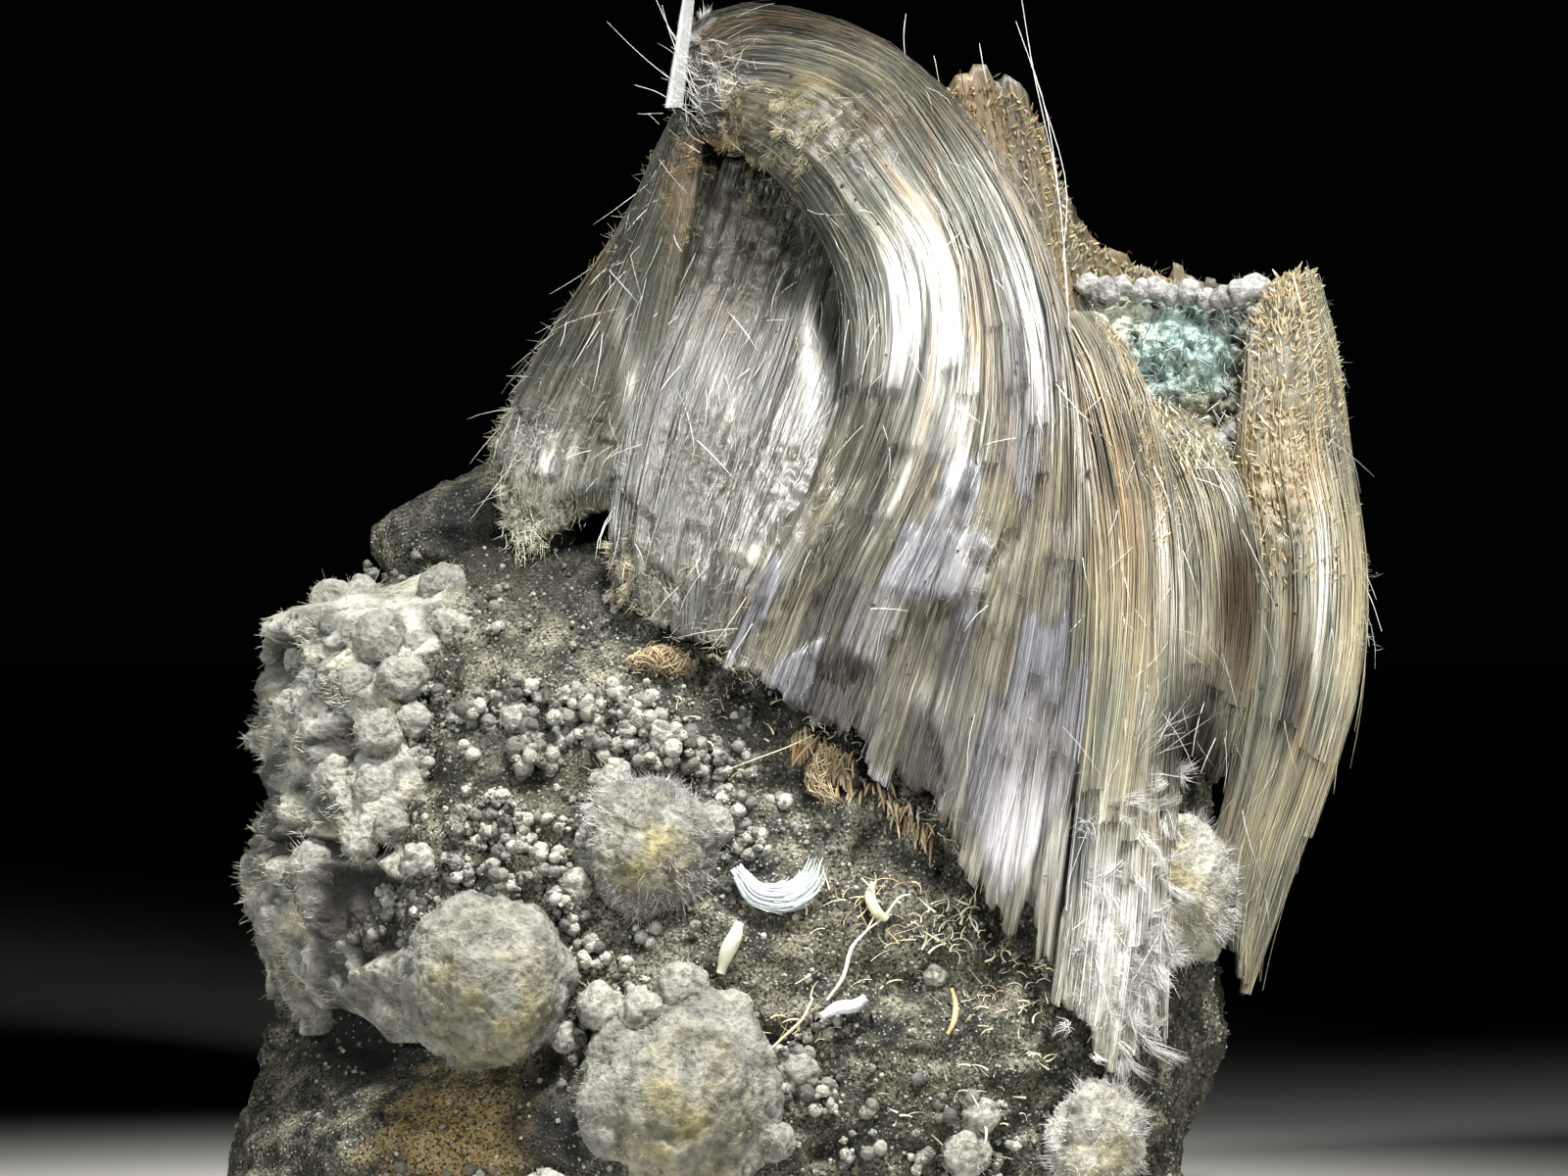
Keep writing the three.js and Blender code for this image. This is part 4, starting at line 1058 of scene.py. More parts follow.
def addCombedHairs(number, name, spec):
    # hairs that lie along the flow, layer by layer
    rng = np.random.default_rng(40 + number)
    count, steps = spec["hairs"], spec["steps"]
    s = np.linspace(0, 1, steps + 1)[None, :]
    u0 = rng.random((count, 1))
    first, last = lockEnds(spec, u0)
    ends = terraceEnds(spec, u0)
    layer = rng.integers(0, len(ends) + 1, (count, 1))
    low, high, height = first + 0 * u0, last + 0 * u0, 0 * u0
    for k, (at, depth) in enumerate(ends):
        high = np.where(layer == k, np.minimum(high, at), high)
        low = np.where(layer > k, at - 0.06, low)
        height = height + depth * np.where(layer > k, -0.5, 0.5)
    whole = rng.random((count, 1)) < 0.35
    start = low + (high - low) * np.where(whole, 0.02, 0.85) * rng.random((count, 1))
    end = np.minimum(start + np.where(whole, 1.0, rng.uniform(0.12, 0.5, (count, 1))), high)
    v = start + (end - start) * s
    drift = rng.normal(0, 0.016, (count, 1)) * (s - 0.3)
    wave = 0.003 * np.sin(9 * s + 6.28 * rng.random((count, 1)))
    u = np.clip(u0 + drift + wave, 0.003, 0.997)
    e = np.clip((v - first) / (last - first), 0, 1)
    lift, rear = frontLift(spec, u, e, v)
    middle, out = guideTable(spec, u, v), guideOut(spec, u, v)
    above = rng.random((count, 1)) ** 3 * 0.3 - 0.02
    loose = (rng.random((count, 1)) < 0.04) * rng.random((count, 1)) * 1.2 * s ** 2
    paths = middle + out * (lift + height + above + loose + fibreRelief(spec, u, v, number * 3.7))[..., None]
    if spec.get("bothSides"):
        behind = middle.copy()
        behind[..., 1] += rear + 0.05 + fibreRelief(spec, u, v, number * 3.7 + 9)
        paths = np.where(rng.random((count, 1, 1)) < 0.45, behind, paths)
    combed = mattedShare(spec, paths[:, steps // 2]) < rng.random(count) + 0.15
    thick = 0.013 + 0.03 * rng.random((count, 1)) ** 3
    pointed = ~whole & ((s < 0.01) | (s > 0.99))
    widths = thick * np.where(whole & (s > 0.99), 0.9, 1) * np.where(pointed, 0.3, 1)
    own = (2.2 * rng.random((count, 1)) ** 4 - 0.5) * np.ones(s.shape)
    tones = np.clip(fibreTones(spec, paths, u, v, number * 3.7, own) * 1.12, 0.01, 0.95)
    addHairs(name + "_hairs", paths[combed], widths[combed], tones[combed], [name], "hair")
    addStrays(rng, name, spec)


def addStrays(rng, name, spec):
    # bright stray needles that cross the flow or stand off it
    count = spec["stray"]
    u, v = rng.random(count) * 0.96 + 0.02, rng.uniform(0.05, 0.95, count)
    out, down, side = flowWays(spec, u, v, 0, 0.03)
    turn = rng.normal(0, 0.5, (count, 1))
    heading = down * np.cos(turn) + side * np.sin(turn) + out * rng.uniform(0, 0.2, (count, 1))
    size = rng.uniform(0.5, 1, (count, 1)) ** 2 * 3.6
    s = np.linspace(0, 1, 4)[None, :, None]
    bow = (out + side * rng.normal(0, 1, (count, 1)))[:, None] * 0.05 * np.sin(s * np.pi) * size[:, None]
    paths = strands(onSurface(spec, u, v, 0.1), heading, size, 4) + bow
    widths = (0.01 + 0.018 * rng.random((count, 1)) ** 2) * np.array([[1, 1, 0.8, 0.3]])
    tones = dimmed(rng, count, palette["white"], 0.8, 1)
    addHairs(name + "_strays", paths, widths, tones, [name], "hair")


def addFuzz(number, name, spec):
    # short hairs in every direction where the fibres are matted
    rng = np.random.default_rng(240 + number)
    u, v = rng.random(spec["fuzz"] * 4), rng.uniform(0.01, 0.99, spec["fuzz"] * 4)
    foot, out = guideTable(spec, u, v), guideOut(spec, u, v)
    lift, rear = surfaceLift(spec, u, v)
    kept = np.flatnonzero(mattedShare(spec, foot + out) > rng.random(len(u)))[:spec["fuzz"]]
    foot, out, lift, rear = foot[kept], out[kept], lift[kept], rear[kept]
    count = len(kept)
    if spec.get("bothSides"):
        turned = rng.random(count) < 0.5
        out = np.where(turned[:, None], [[0, 1.0, 0]], out)
        lift = np.where(turned, rear, lift)
    foot = foot + out * (lift + rng.uniform(-0.15, 0.1, count))[:, None]
    way = rng.normal(size=(count, 3))
    way = unit(way - out * ((way * out).sum(1, keepdims=True) - rng.uniform(0, 0.5, (count, 1))))
    size = rng.uniform(0.2, 0.75, (count, 1))
    paths = strands(foot, way, size, 3, rng.normal(0, 0.25, (count, 1, 3)))
    widths = tapered(rng, count, 0.01, 0.018, [1, 0.9, 0.3])
    pale = np.where(rng.random((count, 1, 1)) < 0.5, palette["cream"], palette["silk"])
    tones = dimmed(rng, count, pale, 0.15, 0.52) * np.ones((1, 3, 1))
    tones = np.clip(stained(paths, tones, np.full((count, 3), -0.3)), 0.01, 0.95)
    addHairs(name + "_fuzz", paths, widths, tones, [name])


# x, z, half width, half height, grains of dark dirt; tress
dirt = [
    [-1, 56, 2, 2, 60, "main_tress"], [4, 52, 2, 2, 40, "main_tress"], [9, 42, 5, 6, 70, "main_tress"],
    [6, 30, 6, 4, 90, "main_tress"], [12, 22, 3, 5, 60, "main_tress"], [-3, 44, 4, 5, 70, "hollow_wall"],
    [-5, 34, 4, 4, 60, "hollow_wall"], [-9, 44, 4, 5, 60, "left_curtain"], [16, 34, 3, 8, 60, "tan_tress"],
    [16, 16, 3, 6, 60, "tan_tress"], [25.6, 30, 2, 12, 70, "right_tress"],
]


def addDirt():
    rng = np.random.default_rng(77)
    points, sizes = [], []
    for x, z, w, h, count, name in dirt:
        at = onSurface(tresses[name], rng.random(900), rng.random(900), 0.02)
        close = np.flatnonzero((np.abs(at[:, 0] - x) < w) & (np.abs(at[:, 2] - z) < h))[:count]
        points.append(at[close])
        sizes.append(0.02 + 0.07 * rng.random(len(close)) ** 4)
    points, sizes = np.concatenate(points), np.concatenate(sizes)
    tones = palette["dirt"] * rng.uniform(0.4, 1.6, (len(points), 1))
    addGrains("tressDirt", points, sizes, tones, smoothRound=False, seed=9)


# Serrated rows of short needles: tress, u from and to, v from and to, rows, needles in each, length, tone
teeth = [
    ["fibre_wall", 0.28, 0.47, 0.05, 0.5, 18, 50, 0.6, "tan"],
    ["fibre_wall", 0.47, 0.98, 0.06, 0.25, 7, 120, 0.5, "cream"],
    ["tan_tress", 0.45, 0.98, 0.05, 0.42, 14, 20, 0.55, "tan"],
    ["right_tress", 0.02, 0.6, 0.02, 0.48, 30, 26, 0.75, "tan"],
    ["right_tress", 0.3, 0.98, 0.01, 0.4, 28, 30, 0.6, "cream"],
    ["hanging_tress", 0.1, 0.98, 0.02, 0.3, 12, 28, 0.7, "cream"],
]


def addTeeth():
    rng = np.random.default_rng(83)
    for name, u0, u1, v0, v1, rows, count, length, shade in teeth:
        spec = tresses[name]
        u = np.tile(np.linspace(u0, u1, count), rows) + rng.normal(0, 0.004, rows * count)
        v = np.repeat(np.linspace(v0, v1, rows), count) + rng.normal(0, 0.006, rows * count)
        u, v = np.clip(u, 0.005, 0.995), np.clip(v, 0.005, 0.995)
        out, down, side = flowWays(spec, u, v, 0.004, 0.004)
        lean = out * 0.55 - down * rng.uniform(-0.2, 0.9, (len(u), 1))
        lean = unit(lean + side * rng.normal(0.1, 0.45, (len(u), 1)))
        size = length * rng.uniform(0.35, 1, (len(u), 1))
        paths = strands(onSurface(spec, u, v, -0.15), lean, size, 3, -0.25 * down[:, None])
        widths = tapered(rng, len(u), 0.05, 0.12, [0.9, 0.95, 0.2])
        mixed = towardsCream(rng, len(u), shade)
        tones = dimmed(rng, len(u), mixed, 0.6, 1.15) * np.array([0.6, 1, 1.2])[None, :, None]
        addHairs(name + "_teeth_" + shade, paths, widths, np.clip(tones, 0, 0.95), [name])


# Fuzzy balls

puffs = {
    "puff_large": {"centre": [-14.4, -18.2, 12.8], "size": [4.2, 3.6, 4.2], "lump": 0.12, "fineness": 6,
                   "hairs": 4000, "length": 0.42, "fuzzTone": "silk"},
    "puff_middle": {"centre": [-6.7, -16.2, 19.3], "size": [3.4, 2.9, 3.4], "lump": 0.14, "fineness": 6,
                    "hairs": 5000, "length": 0.95, "fuzzTone": "white"},
    "puff_lower": {"centre": [-4.9, -19, 7.2], "size": [4.9, 3.4, 4.9], "lump": 0.16, "fineness": 6,
                   "hairs": 4500, "length": 0.5, "fuzzTone": "silk"},
    "puff_back": {"centre": [-8, 16.6, 14], "size": [5, 3, 4.4], "lump": 0.16, "fineness": 5,
                  "hairs": 800, "length": 0.45, "fuzzTone": "puff"},
    "needle_tuft": {"centre": [19.5, -12.1, 16.9], "size": [2.9, 2.6, 3.6], "lump": 0.2, "fineness": 5,
                    "hairs": 4000, "length": 1, "bright": 1.9, "fuzzTone": "white"},
    "lower_tuft": {"centre": [15.4, -17, 4.9], "size": [2.2, 1.9, 2.8], "lump": 0.2, "fineness": 5,
                   "hairs": 3000, "length": 0.9, "bright": 1.6, "fuzzTone": "white"},
}


def unitBall(fineness):
    ball = bmesh.new()
    bmesh.ops.create_icosphere(ball, subdivisions=fineness, radius=1)
    p = np.array([v.co[:] for v in ball.verts])
    faces = np.array([[v.index for v in f.verts] for f in ball.faces])
    ball.free()
    return p / np.linalg.norm(p, axis=1, keepdims=True), faces


def onBall(spec, p):
    # points on the ball, and how high their knobs stand
    centre, size = np.array(spec["centre"]), np.array(spec["size"])
    swell = 1 + spec["lump"] * lumps(p[:, 0] * 2.3 + centre[0], p[:, 1] * 2.3, p[:, 2] * 2.3 + centre[2])
    at = p * size
    large, small, tiny = knobs(at, 1.5, centre[0]), knobs(at, 0.55, centre[2]), knobs(at, 0.26, 3.0)
    high = 0.26 * large + 0.17 * small + 0.11 * tiny - 0.3
    return centre + at * swell[:, None] + p * high[:, None], small * 0.6 + tiny * 0.4


def addPuff(number, name, spec):
    p, faces = unitBall(spec["fineness"])
    points, high = onBall(spec, p)
    toward = np.clip(-p[:, 1] - 0.6 * np.abs(p[:, 0]) - 0.3 * p[:, 2], 0, 1)
    patch = np.clip(0.5 + 0.9 * lumpsAt(points, 1.5), 0, 1)
    tones = blended(palette["puff"], palette["yolk"], toward * patch)
    tones = blended(tones, palette["brown"], np.clip(3 * lumpsAt(points, 0.3) - 1.5, 0, 1) * 0.7)
    # painted shade: darker between the knobs, lighter on their tops
    shade = (0.16 + 0.26 * high) * (0.9 + 0.5 * lumpsAt(points, 0.8))
    tones = tones * shade[:, None] * spec.get("bright", 1)
    mesh = buildMesh(name, points, [faces], np.clip(tones, 0.01, 1))
    addPiece(name + "_ball", mesh, "crust", [name])
    rng = np.random.default_rng(70 + number)
    count = spec["hairs"]
    way = unit(rng.normal(size=(count, 3)))
    foot = onBall(spec, way)[0] - way * 0.1
    lean = unit(way * 0.8 + rng.normal(0, 0.55, (count, 3)))
    clump = np.clip(0.75 + 0.9 * lumpsAt(foot, 0.9), 0.25, 1.5)[:, None]
    size = spec["length"] * rng.uniform(0.25, 1, (count, 1)) * clump
    widths = tapered(rng, count, 0.01, 0.019, [1, 0.3])
    tones = dimmed(rng, count, palette[spec["fuzzTone"]], 0.22, 0.68) * spec.get("bright", 1) ** 0.6
    addHairs(name + "_fuzz", strands(foot, lean, size, 2), widths, np.clip(tones, 0, 0.95), [name])


# Crusts

leftCrust = {"from": 0.455, "to": 0.632, "low": 10, "high": 32.6, "narrow": 0.05, "thick": 1.4, "lump": 0.9,
             "columns": 197, "rows": 205, "gap": 0.3, "fuzz": 5200}

# hollows in the crust, pressed in and painted dark as shade: x, z, half width, half height, depth
crustHollows = [
    [-20, 15.9, 1.9, 2.3, 2], [-23.4, 28.2, 1.2, 1.2, 1.3], [-24.6, 21.4, 1, 1, 0.9],
    [-21.4, 19, 3.4, 0.6, 1.1],
    [-20.6, 24.4, 0.8, 1.3, 0.8], [-25, 11.6, 1, 1.6, 0.8],
]


def addLeftCrust():
    c = leftCrust
    s = np.broadcast_to(np.linspace(0, 1, c["columns"])[None, :], (c["rows"], c["columns"]))
    t = np.broadcast_to(np.linspace(1, 0, c["rows"])[:, None], s.shape)
    ragged = 1.1 * lumps(s * 5, t * 6, 3.0) + 0.5 * lumps(s * 17, t * 3, 8.0)
    z = c["low"] + (c["high"] - c["low"]) * t + ragged * np.where(t > 0.5, 1, -1) * np.abs(2 * t - 1)
    turn = c["from"] + (c["to"] - c["narrow"] * t - c["from"]) * s
    turn = turn + 0.007 * lumps(t * 9, 2.0, 5.0) * np.clip(8 * s - 7, 0, 1)
    rim = np.minimum(1, 6 * np.minimum(np.minimum(s, 1 - s), np.minimum(t, 1 - t)))
    skin = rockSkin(turn, z)
    swell = c["thick"] * (0.45 + 0.55 * rim) + c["lump"] * rim * lumpsAt(skin, 1.9)
    large, small, tiny = knobs(skin, 2.1, 1.0), knobs(skin, 0.8, 2.0), knobs(skin, 0.36, 3.0)
    high = 1.0 * large + 0.5 * small + 0.22 * tiny - 0.85
    hollow = np.zeros(s.shape)
    for *place, depth in crustHollows:
        inside = np.clip(near(skin, *place) * 2.4 - 0.5 + 0.35 * lumpsAt(skin, 0.9), 0, 1)
        hollow = np.maximum(hollow, inside * (skin[..., 1] < 2) * depth / 1.7)
    out = c["gap"] + np.maximum(swell, 0.5) + high * np.clip(rim * 1.5, 0.2, 1) - 1.7 * hollow
    front, back = rockSkin(turn, z, np.maximum(out, -0.4)), rockSkin(turn, z, -0.8)
    front[..., 2] += 0.5 * (out - 1.4) * np.clip((z - 29.5) / 2.5, 0, 1)
    rough, hollowShade = 0.14 + 0.28 * small + 0.28 * tiny, np.clip(hollow * 1.6, 0, 1)
    points, rough, hollowShade = [bothSides(*pair) for pair in ((front, back), (rough, rough), (hollowShade, hollowShade))]
    patch = np.clip(1.6 * lumpsAt(points, 3.2, (0, 0, 2)) - 0.25, 0, 1)
    tones = palette["puff"] * 1.02 + (palette["olive"] - palette["puff"]) * patch[:, None] * 0.6
    pale = np.clip(1.8 * lumpsAt(points, 2.2, (0, 0, 20)) - 0.8, 0, 1)
    tones = blended(tones, palette["cream"], pale * 0.8)
    tones = blended(tones, palette["brown"], np.clip(3 * lumpsAt(points, 0.33) - 1.5, 0, 1) * 0.6)
    broken = np.clip(0.85 + 0.8 * lumpsAt(points, 1.1) + 0.5 * lumpsAt(points, 2.7, 5), 0.25, 1.6)
    # painted shade: the crust darkened between its knobs by rough, and its hollows painted nearly black
    tones = blended(tones * (rough * broken)[:, None], palette["dirt"] * 0.15, hollowShade * 0.95)
    mesh = buildMesh("leftCrust", points, shellFaces(*s.shape), np.clip(tones, 0.004, 1))
    addPiece("leftCrust", mesh, "crust", ["left_crust"])
    # short fuzz in tufts over it
    rng = np.random.default_rng(98)
    row, column = [rng.integers(3, c[side] - 3, c["fuzz"] * 2) for side in ("rows", "columns")]
    foot = front[row, column]
    tufted = lumpsAt(foot, 1.6) * 1.2 + 0.35 - 3 * hollow[row, column] > rng.random(len(row))
    foot, out = foot[tufted][:c["fuzz"]], outward(turn[row, column][tufted][:c["fuzz"]])
    count = len(foot)
    way = unit(out + rng.normal(0, 0.55, (count, 3)))
    paths = strands(foot - out * 0.05, way, rng.uniform(0.15, 0.75, (count, 1)), 2)
    widths = tapered(rng, count, 0.012, 0.026, [1, 0.3])
    addHairs("leftCrustFuzz", paths, widths, dimmed(rng, count, palette["silk"], 0.25, 0.85),
             ["left_crust"])


pocket = {
    "left": 14.2, "right": 27.1, "back": 8.7, "bowl": 1.2, "lump": 0.7, "columns": 149, "rows": 149,
    "rise": [[33, -0.6], [35, -1], [37, 0.8], [38.6, 3.2], [40.4, 5.2], [43, 5.4], [45.4, 4.8], [47.2, 5.6]],
    "feathers": 2600,
    # x, z, half width, half height, tone, strength
    "patches": [
        [20.4, 44.2, 3.6, 2.6, "teal", 0.85], [21.5, 40.6, 3, 1.6, "olive", 0.8],
        [24.4, 37.2, 3, 2.6, "tan", 0.75], [26, 43, 1.6, 4, "cream", 0.7],
        [23.8, 39, 1.6, 0.9, "teal", 0.6], [17, 45.4, 2, 1.6, "silk", 0.6],
    ],
    # where the feathers are teal and where amber
    "tealFeathers": [20.6, 44.6, 3, 2.4],
    "amberFeathers": [24.6, 37, 3, 2.8],
}


def pocketFront(x, z):
    keys = np.array(pocket["rise"], float).T
    side = 2 * (x - pocket["left"]) / (pocket["right"] - pocket["left"]) - 1
    tall = 2 * (z - keys[0][0]) / (keys[0][-1] - keys[0][0]) - 1
    lump = pocket["lump"]
    rough = lump * lumps(x / 1.7, 4.0, z / 1.7) + 0.6 * lump * lumps(x / 0.9, 7.0, z / 0.9)
    bowled = np.interp(z, *keys) - pocket["bowl"] * side * side * np.where(side > 0, 1.7, 0.5) + rough
    rounded = np.maximum(side ** 6, tall ** 6)
    return bowled + (pocket["back"] - 1.4 - bowled) * rounded


def addPocket():
    z0, z1 = pocket["rise"][0][0], pocket["rise"][-1][0]
    x = np.broadcast_to(np.linspace(pocket["left"], pocket["right"], pocket["columns"])[None, :],
                        (pocket["rows"], pocket["columns"]))
    z = np.broadcast_to(np.linspace(z1, z0, pocket["rows"])[:, None], x.shape)
    y = pocketFront(x, z)
    front = np.stack([x, y, z], -1)
    rough = 0.6 * knobs(front, 1.2, 3.0) + 0.4 * knobs(front, 0.5, 4.0)
    front[..., 1] -= 1.3 * rough - 0.5 + 0.15 * lumps(x / 0.3, 1.0, z / 0.3)
    front[..., 2] += 0.5 * lumps(x / 1.3, 3.0, 1.0) * (z > z1 - 0.01)
    back = np.stack([x, np.maximum(pocket["back"], y + 0.4), z], -1)
    points = bothSides(front, back)
    wobble = lumpsAt(points, 1.4)
    tones = palette["puff"] * 0.95
    for *place, name, strength in pocket["patches"]:
        share = np.clip(1.5 * near(points, *place) + 0.5 * wobble - 0.25, 0, 1)
        tones = blended(tones, palette[name], share * strength)
    # painted shade: darker between the knobs, lighter on their tops
    tones = np.clip(tones * bothSides(*[0.42 + 0.6 * rough] * 2)[:, None], 0, 1)
    mesh = buildMesh("pocketCrust", points, shellFaces(*x.shape), tones)
    addPiece("pocketCrust", mesh, "crust", ["pocket_crust"])
    # feathery crystals that line it
    rng = np.random.default_rng(91)
    count = pocket["feathers"]
    x = rng.uniform(pocket["left"] + 0.6, pocket["right"] - 0.5, count)
    z = rng.uniform(z0 + 0.6, z1 + 0.1, count)
    foot = np.stack([x, pocketFront(x, z) - 0.2, z], 1)
    clump = np.stack([lumps(x / 0.8, 1.0, z / 0.8), np.full(count, -0.75), lumps(x / 0.8, 6.0, z / 0.8)], 1)
    way = unit(clump + rng.normal(0, 0.28, (count, 3)))
    size = rng.uniform(0.3, 1.1, (count, 1))
    paths = strands(foot, way, size, 3, rng.normal(0, 0.3, (count, 1, 3)))
    widths = tapered(rng, count, 0.018, 0.055, [1, 0.9, 0.25])
    wobble = rng.normal(0, 0.3, count)
    teal = np.clip(1.6 * near(foot, *pocket["tealFeathers"]) + wobble - 0.3, 0, 1)
    amber = np.clip(1.7 * near(foot, *pocket["amberFeathers"]) + wobble - 0.3, 0, 1)
    tones = blended(blended(palette["white"], palette["teal"], teal), palette["tan"], amber)
    tones = np.clip(tones * rng.uniform(0.5, 1, (count, 1)), 0, 1)
    addHairs("pocketFeathers", paths, widths, tones[:, None], ["pocket_crust"])


# Beads and grains on the rock

beads = {
    "clusters": [
        [-15, 25.8, 1.1], [-13.2, 26.6, 1], [-11.6, 25.4, 1.2], [-10, 26, 1.1], [-8.6, 24.8, 1],
        [-12.4, 23.6, 1.1], [-7, 24.8, 1], [-5.2, 24, 1], [-3.6, 23.4, 0.9], [-15.4, 20.2, 0.9],
        [-13.2, 20.6, 0.8], [-16, 18.2, 0.9], [-13.8, 18, 1], [-11.4, 18.4, 0.9], [-11, 16.6, 0.9],
        [-2.4, 21, 0.9], [-1.6, 19.4, 0.8], [-9.4, 14, 0.9], [0.8, 9.4, 0.8], [1.6, 7, 0.9],
    ],
    "perCluster": 22,
    "young": 4500,
    # x, z, half width, half height, clusters, beads in each, cluster radius
    "groves": [
        [-9.5, 25.2, 7.5, 1.6, 30, 9, 0.6],
        [-14, 19, 3.6, 3, 20, 7, 0.55],
        [-3, 21.8, 3, 2, 14, 8, 0.55],
        [-9.5, 13.6, 3, 3, 12, 7, 0.5],
        [-20, 15.9, 1.5, 1.8, 14, 7, 0.5],
        [0.5, 8.6, 2.6, 3, 14, 7, 0.6],
        [-17, 2.6, 5, 1.6, 12, 6, 0.5],
        [8, 4.6, 4, 3, 16, 5, 0.4],
        [-16.4, 30.4, 1.6, 1.2, 8, 7, 0.4],
        [-17.8, 25, 1.3, 6, 16, 6, 0.45],
        [-17.6, 14, 1.4, 5, 14, 7, 0.5],
    ],
    # x, z, half width, half height, count, smallest and largest radius
    "bands": [
        [-8, 29.6, 6, 3, 26, 0.1, 0.28],
        [-20, 33, 1.4, 1, 10, 0.15, 0.3],
        [-12, 21, 8, 6, 60, 0.1, 0.34],
        [-4, 14, 8, 7, 60, 0.08, 0.26],
        [3, 18, 8, 7, 130, 0.05, 0.15],
        [-6, 30, 8, 4, 70, 0.05, 0.15],
        [6, 6, 8, 5, 90, 0.06, 0.2],
    ],
    "grains": 6000,
}


def addBeads():
    rng = np.random.default_rng(17)
    points, sizes = [], []
    for x, z, radius in beads["clusters"]:
        centre = np.array([x, float(rockFront(x, z)), z])
        way = rng.normal(size=(beads["perCluster"], 3))
        way[:, 1] = -np.abs(way[:, 1])
        points.append(centre + unit(way) * radius * rng.uniform(0.85, 1.1, (len(way), 1)))
        sizes.append((0.2 + 0.3 * rng.random(len(way)) ** 1.6) * radius)
    for x, z, w, h, clusters, each, spread in beads["groves"]:
        cx, cz = [np.repeat(at + half * np.clip(rng.normal(0, 0.55, clusters), -1.2, 1.2), each)
                  for at, half in ((x, w), (z, h))]
        bx, bz = [at + rng.normal(0, spread * 0.6, len(cx)) for at in (cx, cz)]
        size = 0.12 + 0.3 * rng.random(len(cx)) ** 1.8
        far = np.hypot(bx - cx, bz - cz) / spread
        points.append(np.stack([bx, rockFront(bx, bz) - 0.5 * size - 0.35 * np.clip(1 - far, 0, 1), bz], 1))
        sizes.append(size)
    for x, z, w, h, count, small, large in beads["bands"]:
        bx, bz = [at + half * rng.uniform(-1, 1, count) for at, half in ((x, w), (z, h))]
        sizes.append(rng.uniform(small, large, count))
        points.append(np.stack([bx, rockFront(bx, bz) - 0.45 * sizes[-1] - 0.15, bz], 1))
    points, sizes = np.concatenate(points), np.concatenate(sizes)
    tones = palette["bead"] * rng.uniform(0.13, 0.52, (len(points), 1))
    tones = blended(tones, palette["puff"], rng.random(len(points)) ** 2 * 0.7)
    addGrains("rockBeads", points, sizes, tones, ["matrix_rock"], seed=5)
    # smaller ones grown on them
    large = np.flatnonzero(sizes > 0.16)
    host = large[rng.integers(0, len(large), beads["young"])]
    way = unit(rng.normal(size=(len(host), 3)) + np.array([0, -0.7, 0.2]))
    young = 0.04 + 0.1 * rng.random(len(host)) ** 1.5
    at = points[host] + way * (sizes[host] * rng.uniform(0.85, 1.05, len(host)))[:, None]
    shade = tones[host] * rng.uniform(0.5, 1.5, (len(host), 1))
    addGrains("youngBeads", at, young, shade, ["matrix_rock"], seed=15)
    # light grains and dust all over the rock
    count = beads["grains"]
    turn = np.where(rng.random(count) < 0.75, rng.uniform(0.5, 1, count), rng.random(count))
    at = rockSkin(turn, rng.uniform(0.5, 35.5, count))
    at = at + outward(turn) * (rockRelief(at) + 0.02)[:, None]
    size = 0.035 + 0.12 * rng.random(count) ** 3
    tones = palette["bead"] * rng.uniform(0.15, 1, (count, 1))
    addGrains("rockGrains", at, size, tones, ["matrix_rock"], False, 6)


# Curled crystals

curls = {
    "white_curl": {"path": [[-2.4, 18.4], [-1.4, 17.1], [0, 16.9], [1.2, 17.6], [1.8, 19]], "width": 0.75,
                   "thick": 0.5, "tone": "white", "slot": "white_curl", "strands": 420, "curl": 0},
    "tan_curl_left": {"path": [[-7.6, 28.1], [-6.5, 28.5], [-5.4, 28.3], [-4.4, 28.5]], "width": 0.55,
                      "thick": 0.5, "tone": "tan", "slot": "tan_fibre", "strands": 260, "curl": 0.3},
    "tan_curl_right": {"path": [[2.2, 24.2], [1.6, 22.6], [2.8, 21.2]], "width": 0.5, "thick": 0.5,
                       "tone": "tan", "slot": "tan_fibre", "strands": 180, "curl": 0.22},
}


